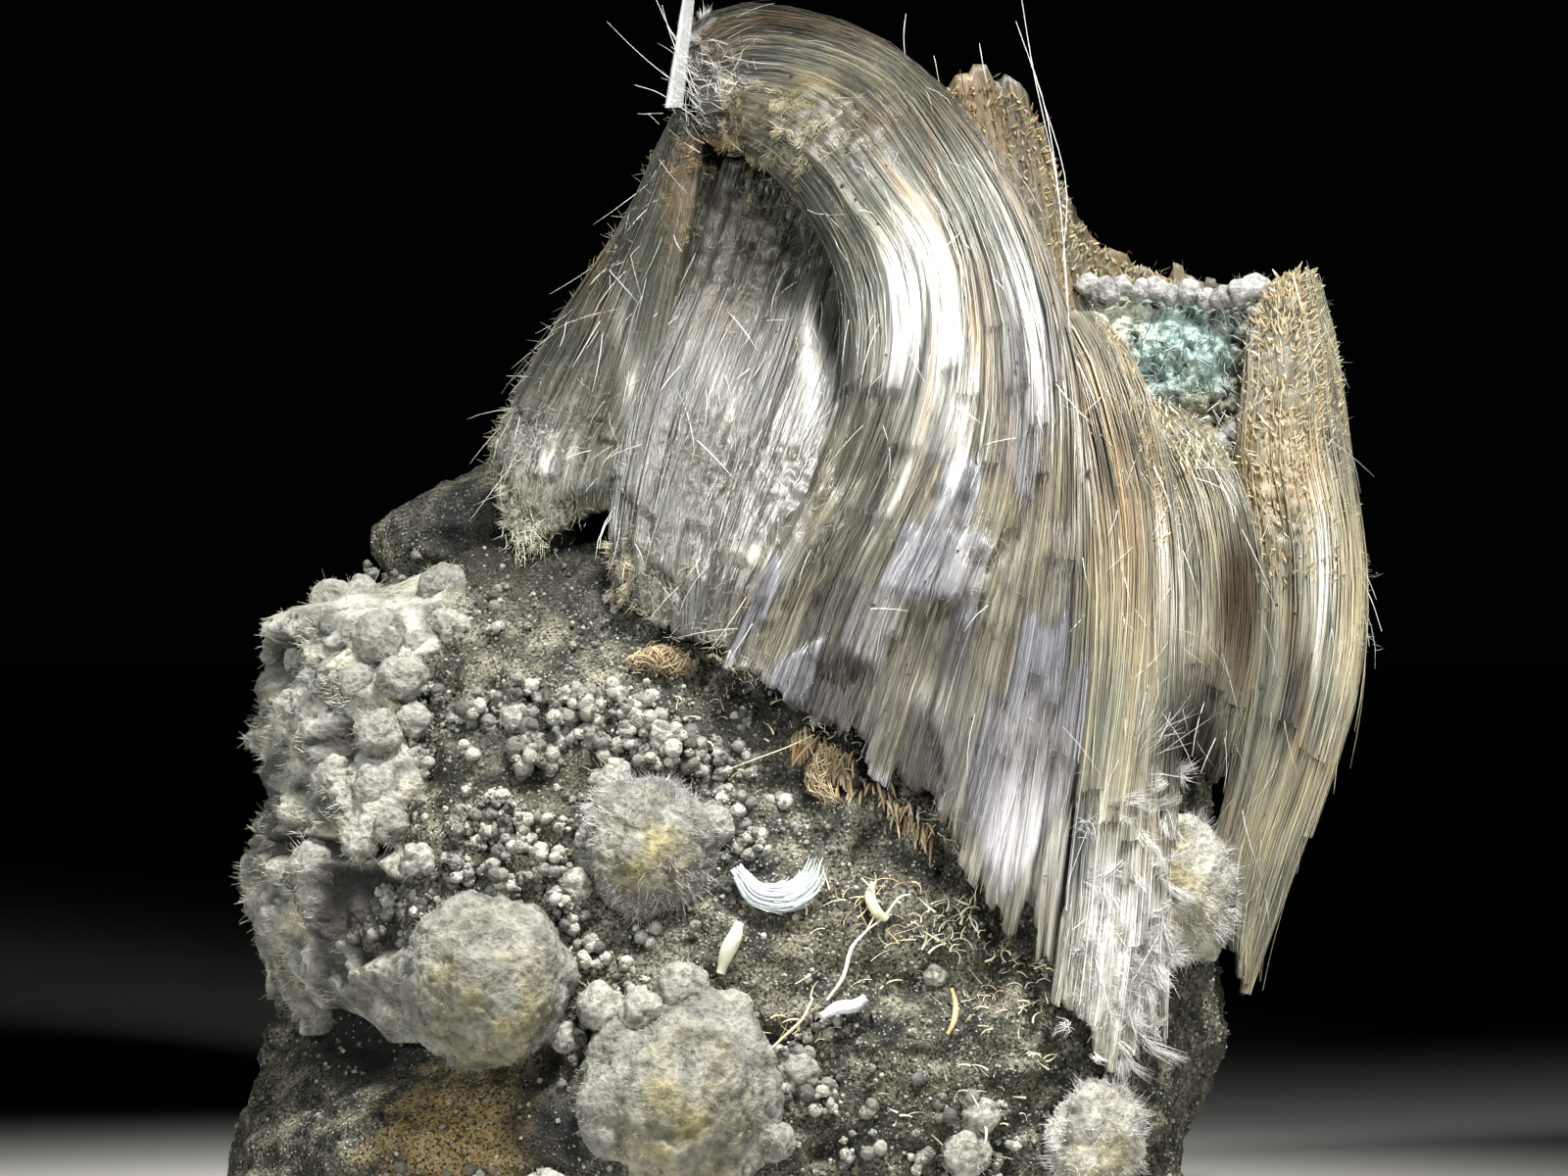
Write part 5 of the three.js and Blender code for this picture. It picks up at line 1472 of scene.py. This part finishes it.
def addCurl(number, name, spec):
    path = np.array(spec["path"], float)
    y = rockFront(path[:, 0], path[:, 1]) - spec["thick"] - 0.3
    y = np.minimum(y, y.mean())
    points = np.stack([path[:, 0], y, path[:, 1]], 1)
    rng = np.random.default_rng(30 + number)
    count, steps = spec["strands"], 9
    s = np.linspace(0, 1, steps)[None, :]
    start = rng.uniform(0, 0.55, (count, 1))
    t = start + s * rng.uniform(0.25, 0.45, (count, 1))
    spots = [curveWeights(np.clip(t + step, 0, 1), len(points)) @ points for step in (0, 0.03, -0.03)]
    centre, ahead, behind = [each.reshape(count, steps, 3) for each in spots]
    forward = unit(ahead - behind)
    across = np.cross(forward, np.array([0, -1.0, 0]))
    out = np.cross(across, forward)
    taper = 0.35 + 0.65 * np.sin(np.pi * np.clip(t, 0.08, 0.92)) ** 0.7
    angle = rng.uniform(0, 2 * np.pi, (count, 1))
    far = np.sqrt(rng.random((count, 1))) * 0.9
    flare = 1 + 0.5 * s ** 3 * rng.random((count, 1))
    phase = rng.uniform(0, 2 * np.pi, (count, 1))
    phase = phase + rng.choice([-1, 1], (count, 1)) * rng.uniform(2, 7, (count, 1)) * s
    aside = spec["width"] * taper * np.cos(angle) * far * flare + spec["curl"] * np.cos(phase)
    forth = spec["thick"] * taper * np.sin(angle) * far * flare + spec["curl"] * np.sin(phase)
    paths = centre + across * aside[..., None] + out * forth[..., None]
    widths = rng.uniform(0.02, 0.055, (count, 1)) * np.clip(1.2 - s, 0.3, 1)
    if spec["curl"] == 0:
        tint, dulled = palette["white"] * np.array([0.9, 1.0, 1.06]), 1
    else:
        tint, dulled = towardsCream(rng, count, spec["tone"]), 0.6
    tones = np.clip(dimmed(rng, count, tint, 0.6 * dulled, 1.15 * dulled), 0, 1)
    addHairs(name + "_plume", paths, widths, tones, [name])


blade = {"foot": [-5.6, -1.4, 56.4], "head": [-4.5, -0.8, 64.6], "width": 0.9, "thick": 0.6,
         "rings": 24, "corners": 10}


def addBlade():
    foot, head = np.array(blade["foot"]), np.array(blade["head"])
    t = np.linspace(0, 1, blade["rings"])[:, None]
    angle = np.linspace(0, 2 * np.pi, blade["corners"], endpoint=False)[None, :]
    narrow = (1 - 0.45 * t) * (1 + 0.06 * lumps(t * 9, 1.0, 2.0)) / 2
    narrow = narrow * np.where(t > 0.98, 0.5, 1)
    x = np.sign(np.cos(angle)) * np.abs(np.cos(angle)) ** 0.8 * blade["width"] * narrow
    y = np.sin(angle) * blade["thick"] * narrow
    centre = (foot + (head - foot) * t)[:, None]
    points = centre + np.stack([x, y, 0 * x], -1)
    points = np.concatenate([points.reshape(-1, 3), [foot, head]])
    mesh = buildMesh("bladeCrystal", points, tubeFaces(*x.shape), smooth=False)
    addPiece("bladeCrystal", mesh, "glass", ["blade_crystal"])


# Long hairs, sprays and splinters

longHairs = [
    [[11.9, -4, 62.4], [12.6, -4.4, 58], [13.8, -5.4, 52], [14.2, -7, 46]],
    [[11.7, -4.4, 60.6], [13.2, -5, 56], [14, -6, 50], [14.4, -8, 43]],
    [[11.9, -3.6, 60.2], [13, -4.4, 56.8], [14.2, -5.2, 52.4], [14, -6.6, 48.4]],
    [[-9, -1, 60.8], [-7.6, -1, 59.4], [-6.2, -1.2, 58.2], [-4.6, -1.4, 57]],
    [[-6.8, -0.8, 62.6], [-6, -1, 60.8], [-5.2, -1.2, 59.2], [-4.4, -1.4, 57]],
    [[-7.6, -0.6, 57.6], [-6.4, -0.8, 57.2], [-5.2, -1, 56.4], [-4, -1.2, 55.6]],
    [[-6.2, -1.4, 61.6], [-5.8, -1.4, 60.2], [-5.2, -1.4, 58.6], [-4.6, -1.2, 57]],
    [[30.4, -1, 29.8], [29.9, -0.6, 31.4], [29.2, -0.2, 32.8], [28.4, 0, 34]],
    [[30.2, 0, 31.4], [29.8, 0, 32.4], [29.2, 0.2, 33.4], [28.4, 0.4, 34.6]],
    [[29.8, -0.6, 29], [29.6, -0.4, 30.4], [29.2, 0, 32], [28.6, 0.2, 33.6]],
    [[10.3, -2.6, 57.6], [10.1, -2.6, 58.4], [10, -2.6, 59], [9.9, -2.6, 59.6]],
    [[6.2, -1.6, 58.6], [6.1, -1.4, 59.6], [6.1, -1.2, 60.4], [6.2, -1, 61.2]],
    [[8, -2, 57.2], [7.8, -2, 58], [7.7, -2, 58.6], [7.6, -2, 59]],
]

# root x, y, z, heading x, y, z, spread, hairs, length, tone
sprays = [
    [[-3.6, -1.6, 57], [-0.4, -0.7, 0.5], 0.7, 300, 1.5, "white"],
    [[-2.4, -1.8, 57.6], [0.3, -0.8, 0.6], 0.8, 220, 1.1, "white"],
    [[-3.2, -0.6, 58.6], [-0.5, -0.5, 0.3], 0.8, 180, 1, "cream"],
    [[28.4, -0.4, 29.6], [0.8, -0.5, -0.1], 0.7, 260, 0.6, "silk"],
    [[28.6, 0.4, 32.6], [0.8, -0.4, 0.3], 0.8, 220, 0.6, "silk"],
    [[17, -13.6, 23.4], [0.75, -0.35, 0.95], 0.3, 44, 4.6, "white"],
    [[-16.6, -8, 30.6], [-0.1, -0.9, 0.4], 0.8, 260, 0.7, "silk"],
    [[-12.8, -5.2, 34.6], [0, -0.7, -0.7], 0.7, 200, 0.9, "silk"],
]


def addWisps():
    hairs = np.array(longHairs, float)
    rng = np.random.default_rng(55)
    s = np.linspace(0, 1, 12)
    smooth = np.einsum("st,htk->hsk", curveWeights(s, hairs.shape[1]), hairs)
    taper = np.where(s > 0.9, 0.7, 1) * np.linspace(0.55, 1.1, 12)
    widths = 0.03 * taper * rng.uniform(0.7, 1.3, (len(hairs), 1))
    addHairs("longHairs", smooth, widths, palette["white"], look="hair")
    paths, widths, tones = [], [], []
    for root, heading, spread, count, length, name in sprays:
        way = unit(np.array(heading) / np.linalg.norm(heading) + rng.normal(0, spread * 0.6, (count, 3)))
        loose = 0.35 + 0.25 * (length < 2) + 0.5 * (count > 290)
        foot = np.array(root) + rng.normal(0, loose, (count, 3))
        size = length * rng.uniform(0.4, 1, (count, 1))
        paths.append(strands(foot, way, size, 3, rng.normal(0, 0.14, (count, 1, 3))))
        widths.append(tapered(rng, count, 0.01, 0.02, [1, 0.85, 0.25]))
        tones.append(dimmed(rng, count, palette[name], 0.6, 1.05))
    paths, widths, tones = [np.concatenate(each) for each in (paths, widths, tones)]
    addHairs("sprays", paths, widths, np.clip(tones, 0, 1))
    print("wisps grown")


# x, z, half width, half height, count, length, tone
splinterFields = [
    [2.6, 14.6, 3, 3, 20, 1.5, "cream"],
    [4.4, 16, 1.8, 1.8, 22, 1.3, "tan"],
    [0.6, 10.6, 1.4, 0.9, 26, 1.2, "tan"],
    [8.2, 15.2, 1.6, 1.3, 56, 1.3, "silk"],
    [11, 12.6, 2.2, 1.6, 46, 1, "cream"],
    [10.6, 9, 3, 3.4, 40, 0.8, "silk"],
    [3.4, 24.2, 3, 1.2, 60, 0.8, "cream"],
    [-6, 28.2, 1.8, 0.5, 30, 0.5, "cream"],
    [-1.4, 25.6, 4, 1.2, 20, 0.8, "cream"],
    [8, 5, 4, 4, 30, 0.9, "silk"],
    [-3.6, 22.4, 0.8, 0.5, 24, 0.8, "tan"],
]


def addSplinters():
    rng = np.random.default_rng(62)
    paths, widths, tones = [], [], []
    for x, z, w, h, count, length, name in splinterFields:
        fx, fz = [at + half * rng.uniform(-1, 1, count) for at, half in ((x, w), (z, h))]
        angle = rng.uniform(0, np.pi, count)
        size = length * rng.uniform(0.4, 1.2, count)
        s = np.linspace(0, 1, 6)[None, :]
        turn = angle[:, None] + rng.normal(0, 1.1, (count, 1)) * s
        px = fx[:, None] + np.cumsum(np.cos(turn), 1) * size[:, None] / 6
        pz = fz[:, None] + np.cumsum(np.sin(turn), 1) * size[:, None] / 6
        tip = rng.uniform(0, 0.9, (count, 1)) * s ** 2
        paths.append(np.stack([px, rockFront(px, pz) - 0.35 - tip, pz], -1))
        widths.append((0.012 + 0.055 * rng.random((count, 1)) ** 2) * np.clip(1.25 - s, 0.3, 1))
        tones.append(dimmed(rng, count, towardsCream(rng, count, name), 0.7, 1.2))
    paths, widths, tones = [np.concatenate(each) for each in (paths, widths, tones)]
    addHairs("splinters", paths, widths, np.clip(tones, 0, 1), sides=4)
    print("splinters strewn")


# Threads and chips that lie on the rock: points x and z, how far in front of it, radius, tone
threads = [
    [[[4.2, 15.4], [3.3, 14.4], [2.9, 13], [2.1, 11.9]], 0.7, 0.1, "white"],
    [[[4, 15.2], [4.5, 16.2], [4.3, 17.2], [3.8, 17.8]], 0.8, 0.07, "cream"],
    [[[4.1, 15.3], [4.9, 15.9], [5.6, 16.8], [6.2, 17]], 0.8, 0.07, "silk"],
    [[[1.8, 11.1], [2.6, 11.5], [3.4, 11.6], [4, 12]], 0.6, 0.36, "lilac"],
    [[[-3.1, 13.2], [-2.8, 14.2], [-2.4, 15], [-2.2, 15.6]], 0.5, 0.42, "silk"],
    [[[4.4, 17.6], [4.2, 16.9], [4.5, 16.2], [5, 15.8]], 0.5, 0.3, "cream"],
    [[[-3, 23], [-1.4, 23.6], [0.2, 24.2], [1.5, 24.8]], 2, 0.03, "cream"],
    [[[8.2, 12.4], [8.4, 11.6], [8.3, 10.8], [8, 10.2]], 0.5, 0.16, "tan"],
    [[[9.2, 7.2], [9.7, 6.2], [9.9, 5.2], [9.6, 4.2]], 0.7, 0.07, "white"],
    [[[-1, 9.2], [0.1, 10.2], [0.9, 11], [1.4, 12]], 0.8, 0.08, "cream"],
]
# foot x and z from one end to the other, needles, length, radius, tone
combs = [
    [[0.7, 24.9], [3.4, 23.6], 60, 1.3, 0.15, "tan"],
    [[1.8, 23.4], [4.4, 22.2], 50, 1, 0.15, "tan"],
    [[4.8, 22], [7.4, 19.8], 50, 1.1, 0.13, "tan"],
    [[-7.4, 28.7], [-4.2, 28.5], 46, 0.5, 0.1, "cream"],
]


def addLitter():
    rng = np.random.default_rng(63)
    s = np.linspace(0, 1, 10)
    paths, widths, tones = [], [], []
    for way, gap, radius, name in threads:
        p = curveWeights(s, len(way)) @ np.array(way, float)
        y = rockFront(p[:, 0], p[:, 1]) - gap - radius + 0.12 * np.sin(s * 7)
        paths.append(np.stack([p[:, 0], np.minimum(y, y.mean() + 0.2), p[:, 1]], 1))
        widths.append(radius * np.sin(np.pi * np.clip(s, 0.1, 0.86)) ** 0.5)
        tones.append(palette[name] * rng.uniform(0.7, 0.9, (10, 1)))
    addHairs("rockThreads", np.array(paths), np.array(widths), np.array(tones), sides=7)
    paths, widths, tones = [], [], []
    for first, last, count, length, radius, name in combs:
        t = np.linspace(0, 1, count)[:, None]
        at = np.array(first) + (np.array(last) - np.array(first)) * t + rng.normal(0, 0.22, (count, 2))
        foot = np.stack([at[:, 0], rockFront(at[:, 0], at[:, 1]) - 0.15, at[:, 1]], 1)
        way = np.array([-0.25, -0.75, -0.6]) + rng.normal(0, 0.28, (count, 3))
        size = length * rng.uniform(0.45, 1, (count, 1))
        paths.append(strands(foot, way, size, 5, np.array([0.1, 0.15, -0.35])))
        widths.append(radius * tapered(rng, count, 0.5, 1, [0.9, 1, 0.9, 0.65, 0.25]))
        mixed = towardsCream(rng, count, name)
        tones.append(dimmed(rng, count, mixed, 0.3, 0.75) * np.array([0.5, 0.8, 1, 1, 1])[None, :, None])
    paths, widths, tones = [np.concatenate(each) for each in (paths, widths, tones)]
    addHairs("rockCombs", paths, widths, np.clip(tones, 0, 1), sides=4)


# Feathers, bundles of fine hairs: tress, u from and to, v from and to, bundles, hairs in each, length, tone
feathers = [
    ["tan_tress", 0.1, 1, 0.74, 0.99, 105, 28, 1.6, "white"],
    ["main_tress", 0.6, 1, 0.0, 0.05, 14, 40, 1.1, "white"],
    ["left_curtain", 0.3, 0.62, 0.9, 1, 24, 30, 0.8, "silk"],
    ["main_tress", 0.0, 0.34, 0.08, 0.34, 118, 26, 0.8, "cream"],
    ["main_tress", 0.0, 0.12, 0.02, 0.16, 24, 20, 0.7, "tan"],
    ["left_curtain", 0.72, 1, 0.02, 0.3, 30, 20, 0.6, "tan"],
    ["hollow_wall", 0.0, 1, 0.02, 0.16, 40, 20, 0.5, "cream"],
    ["hollow_wall", 0.02, 0.3, 0.85, 0.99, 26, 24, 0.7, "cream"],
    ["right_tress", 0.85, 1, 0.3, 0.62, 24, 24, 0.5, "silk"],
]


def addFeathers():
    rng = np.random.default_rng(64)
    for number, (name, u0, u1, v0, v1, bundles, each, length, shade) in enumerate(feathers):
        spec = tresses[name]
        count = bundles * each
        u, v = rng.uniform(u0, u1, bundles), rng.uniform(v0, v1, bundles)
        out, down, side = flowWays(spec, u, v, 0.02, 0.02)
        heading = out * 0.4 + down * rng.uniform(-0.4, 1, (bundles, 1))
        heading = heading + side * rng.normal(0, 0.6, (bundles, 1))
        heading = unit(np.repeat(heading, each, 0) + rng.normal(0, 0.16, (count, 3)))
        foot = np.repeat(onSurface(spec, u, v, -0.15), each, 0) + rng.normal(0, 0.12, (count, 3))
        size = length * np.repeat(rng.uniform(0.5, 1, (bundles, 1)), each, 0)
        size = size * rng.uniform(0.6, 1, (count, 1))
        bow = np.repeat(rng.normal(0, 0.2, (bundles, 1, 3)), each, 0)
        widths = tapered(rng, count, 0.009, 0.018, [1, 0.85, 0.25])
        pale = np.repeat(rng.uniform(0.4, 0.95, (bundles, 1, 1)), each, 0)
        tones = np.clip(dimmed(rng, count, palette[shade] * pale, 0.7, 1.05), 0, 1)
        paths = strands(foot, heading, size, 3, bow)
        addHairs(name + "_feathers" + str(number), paths, widths, tones, [name])


# Fluffy nodules on the rock and the crust: x, z, radius, how far they stand off the rock
nodules = [
    [-17.2, 32, 1.2, 0.6], [-16.5, 30, 0.9, 0.3], [-20, 29.3, 1.4, 1.4], [-19, 27.6, 1.2, 0.9],
    [-21.2, 27, 1.3, 1.6], [-20.2, 24.8, 1.2, 1.4], [-23, 25, 1.4, 1.6], [-22.4, 22.6, 1.4, 1.6],
    [-20.4, 22, 1.2, 1.2], [-24.2, 22.2, 1.1, 1.4], [-19.4, 20.2, 1, 0.6], [-22.8, 31.2, 1.2, 1.2],
    [-21.4, 31.4, 1.1, 1.2], [-24.4, 28.2, 0.9, 1.4], [-24.8, 17, 1.2, 1.2], [-23.4, 18.2, 1.3, 1.6],
    [-21, 19.4, 1, 1.4], [-24.6, 14.6, 1.3, 1.3], [-23.8, 12.4, 1.2, 1.4], [-18, 18.6, 0.8, 0.5],
    [-18.4, 25.4, 0.9, 0.4], [-18.4, 29, 0.9, 0.4], [-9, 11.6, 1.1, 0.5], [-7, 11.4, 1, 0.5],
    [-10.6, 10, 0.8, 0.4], [-5, 12.6, 1.2, 0.6], [-2.6, 11.2, 1.1, 0.5], [-8.4, 22.4, 1.1, 0.3],
    [-3.4, 20.4, 0.9, 0.4], [-10.2, 17.4, 0.8, 0.3], [9, 4.4, 1.2, 0.3], [9.6, 6.2, 0.9, 0.2],
    [-0.4, 5, 0.9, 0.3], [0.6, 8.4, 0.9, 0.2], [-11.4, 2.5, 1.3, 0.6], [-13.4, 2.2, 0.8, 0.2],
    [7.4, 13, 0.6, 0.1], [-13.2, 25.6, 0.8, 0.1], [-9.8, 26, 0.7, 0.1], [-6, 24.6, 0.8, 0.1],
]
# and along the pocket's rim: x, z, radius
rimNodules = [
    [14.6, 47, 0.7], [15.6, 47.6, 0.6], [16.5, 47.3, 0.7], [17.5, 47.6, 0.5], [18.3, 47.3, 0.6],
    [19.2, 47.4, 0.55], [20.1, 47.1, 0.5], [20.9, 47.2, 0.6], [21.8, 46.9, 0.5], [22.6, 46.9, 0.6],
    [23.5, 47.2, 0.6], [24.3, 47.4, 0.7], [24.4, 46.2, 0.6], [24.5, 45, 0.6], [24.2, 43.8, 0.5],
    [24.4, 42.4, 0.6], [24, 41, 0.6], [23.2, 39.9, 0.6], [22.4, 39.3, 0.5], [16, 45.6, 0.6],
    [17.2, 44.4, 0.5], [16.6, 43, 0.5], [23.6, 38.4, 0.6], [24.2, 37.4, 0.6],
]


def addNodules():
    rng = np.random.default_rng(65)
    spots = [[x, float(rockFront(x, z)) - off, z, radius] for x, z, radius, off in nodules]
    rim = [[x, float(pocketFront(x, min(z, 46))) - 0.9, z, radius] for x, z, radius in rimNodules]
    flatter = np.array([1, 0.8, 1])
    for title, group, fineness, slot, shade, node in [
        ("rockNodules", spots, 4, "cream_crust", "puff", "matrix_rock"),
        ("rimNodules", rim, 3, "teal_crust", "white", "pocket_crust"),
    ]:
        p, faces = unitBall(fineness)
        points, tones, paths, hairTones = [], [], [], []
        for *place, radius in group:
            at = p * radius * flatter
            where = at + np.array(place)
            small, tiny = knobs(where, 0.6, 5.0), knobs(where, 0.27, 6.0)
            high = 0.2 * small + 0.12 * tiny - 0.16
            swell = 1 + 0.22 * lumpsAt(where, 0.9)
            points.append(np.array(place) + at * swell[:, None] + p * high[:, None])
            speck = np.clip(3 * lumpsAt(where, 0.3) - 1.5, 0, 1)
            tint = blended(palette[shade], palette["brown"], speck * 0.6)
            # painted shade: darker between the knobs, lighter on their tops
            tones.append(tint * (0.12 + 0.2 * small + 0.26 * tiny)[:, None] * rng.uniform(0.8, 1.25))
            count = int(110 * radius * radius)
            way = unit(rng.normal(size=(count, 3)))
            lean = way + rng.normal(0, 0.5, (count, 3))
            size = rng.uniform(0.1, 0.42, (count, 1))
            paths.append(strands(np.array(place) + way * radius * flatter, lean, size, 2))
            hairTones.append(dimmed(rng, count, palette["silk"], 0.25, 0.75))
        sets = np.concatenate([faces + k * len(p) for k in range(len(group))])
        mesh = buildMesh(title, np.concatenate(points), [sets], np.clip(np.concatenate(tones), 0.004, 1))
        addPiece(title, mesh, "crust", [node])
        paths = np.concatenate(paths)
        widths = tapered(rng, len(paths), 0.01, 0.019, [1, 0.3])
        addHairs(title + "Fuzz", paths, widths, np.concatenate(hairTones), [node])


# Build everything

addRock()
print("rock built")
for number, (name, spec) in enumerate(tresses.items()):
    addTress(number, name, spec)
    print("tress grown:", name)
for number, (name, spec) in enumerate(puffs.items()):
    addPuff(number, name, spec)
print("puffs grown")
addLeftCrust()
addPocket()
addBeads()
for number, (name, spec) in enumerate(curls.items()):
    addCurl(number, name, spec)
addBlade()
addWisps()
addSplinters()
addDirt()
addTeeth()
addLitter()
addFeathers()
addNodules()
print("litter, feathers and nodules added")


# Floor, light and camera

studio = {"floor": 6000, "distance": 444, "eyeHeight": 32, "lens": 200, "sensor": 36}


def paleFloor(r):
    grain = r.noise(r.place(), 60, 2)
    return {"Base Color": r.ramp(grain, (0.3, tone("#a3a29e")), (0.7, tone("#abaaa6")))}


def addStudio():
    half = studio["floor"] / 2
    corners = [[-half, -half], [half, -half], [half, half], [-half, half]]
    points = np.array([[x, y, -0.02] for x, y in corners])
    mesh = buildMesh("floor", points, [np.array([[0, 1, 2, 3]])], smooth=False)
    mesh.materials.append(material("paleFloor", paleFloor, {"Roughness": 0.7}))
    floor = bpy.data.objects.new("floor", mesh)
    bpy.context.scene.collection.objects.link(floor)

    def softLight(name, place, aim, size, power, warmth, spread):
        data = bpy.data.lights.new(name, "AREA")
        data.shape = "DISK"
        data.size = size * mm
        data.energy = power
        data.color = warmth
        data.spread = math.radians(spread)
        light = bpy.data.objects.new(name, data)
        light.location = [c * mm for c in place]
        way = np.array(aim, float) - np.array(place, float)
        flat = math.hypot(way[0], way[1])
        light.rotation_euler = (math.atan2(flat, -way[2]), 0, math.atan2(way[1], way[0]) - math.pi / 2)
        bpy.context.scene.collection.objects.link(light)

    softLight("topLight", (60, -140, 310), (3, -34, 36), 60, 0.095, (1, 0.99, 0.97), 24)
    softLight("frontLight", (130, -300, 110), (2, 0, 36), 70, 0.016, (1, 0.995, 0.98), 20)
    softLight("sideLight", (-210, -190, 140), (-4, -10, 36), 70, 0.022, (0.98, 0.99, 1), 22)
    softLight("rimLight", (110, 30, 240), (8, 0, 54), 50, 0.006, (1, 1, 1), 22)

    world = bpy.data.worlds.new("studioWorld")
    world.use_nodes = True
    world.node_tree.nodes["Background"].inputs[0].default_value = (0.0006, 0.0006, 0.0006, 1)
    world.node_tree.nodes["Background"].inputs[1].default_value = 1.0
    bpy.context.scene.world = world

    lens = bpy.data.cameras.new("camera")
    lens.lens = studio["lens"]
    lens.sensor_width = studio["sensor"]
    lens.clip_start, lens.clip_end = 0.01, 20
    camera = bpy.data.objects.new("camera", lens)
    camera.location = (0, -studio["distance"] * mm, studio["eyeHeight"] * mm)
    camera.rotation_euler = (math.pi / 2, 0, 0)
    bpy.context.scene.collection.objects.link(camera)
    bpy.context.scene.camera = camera
    bpy.context.scene.view_settings.view_transform = "Standard"
    bpy.context.scene.view_settings.look = "None"


addStudio()
print("studio set")
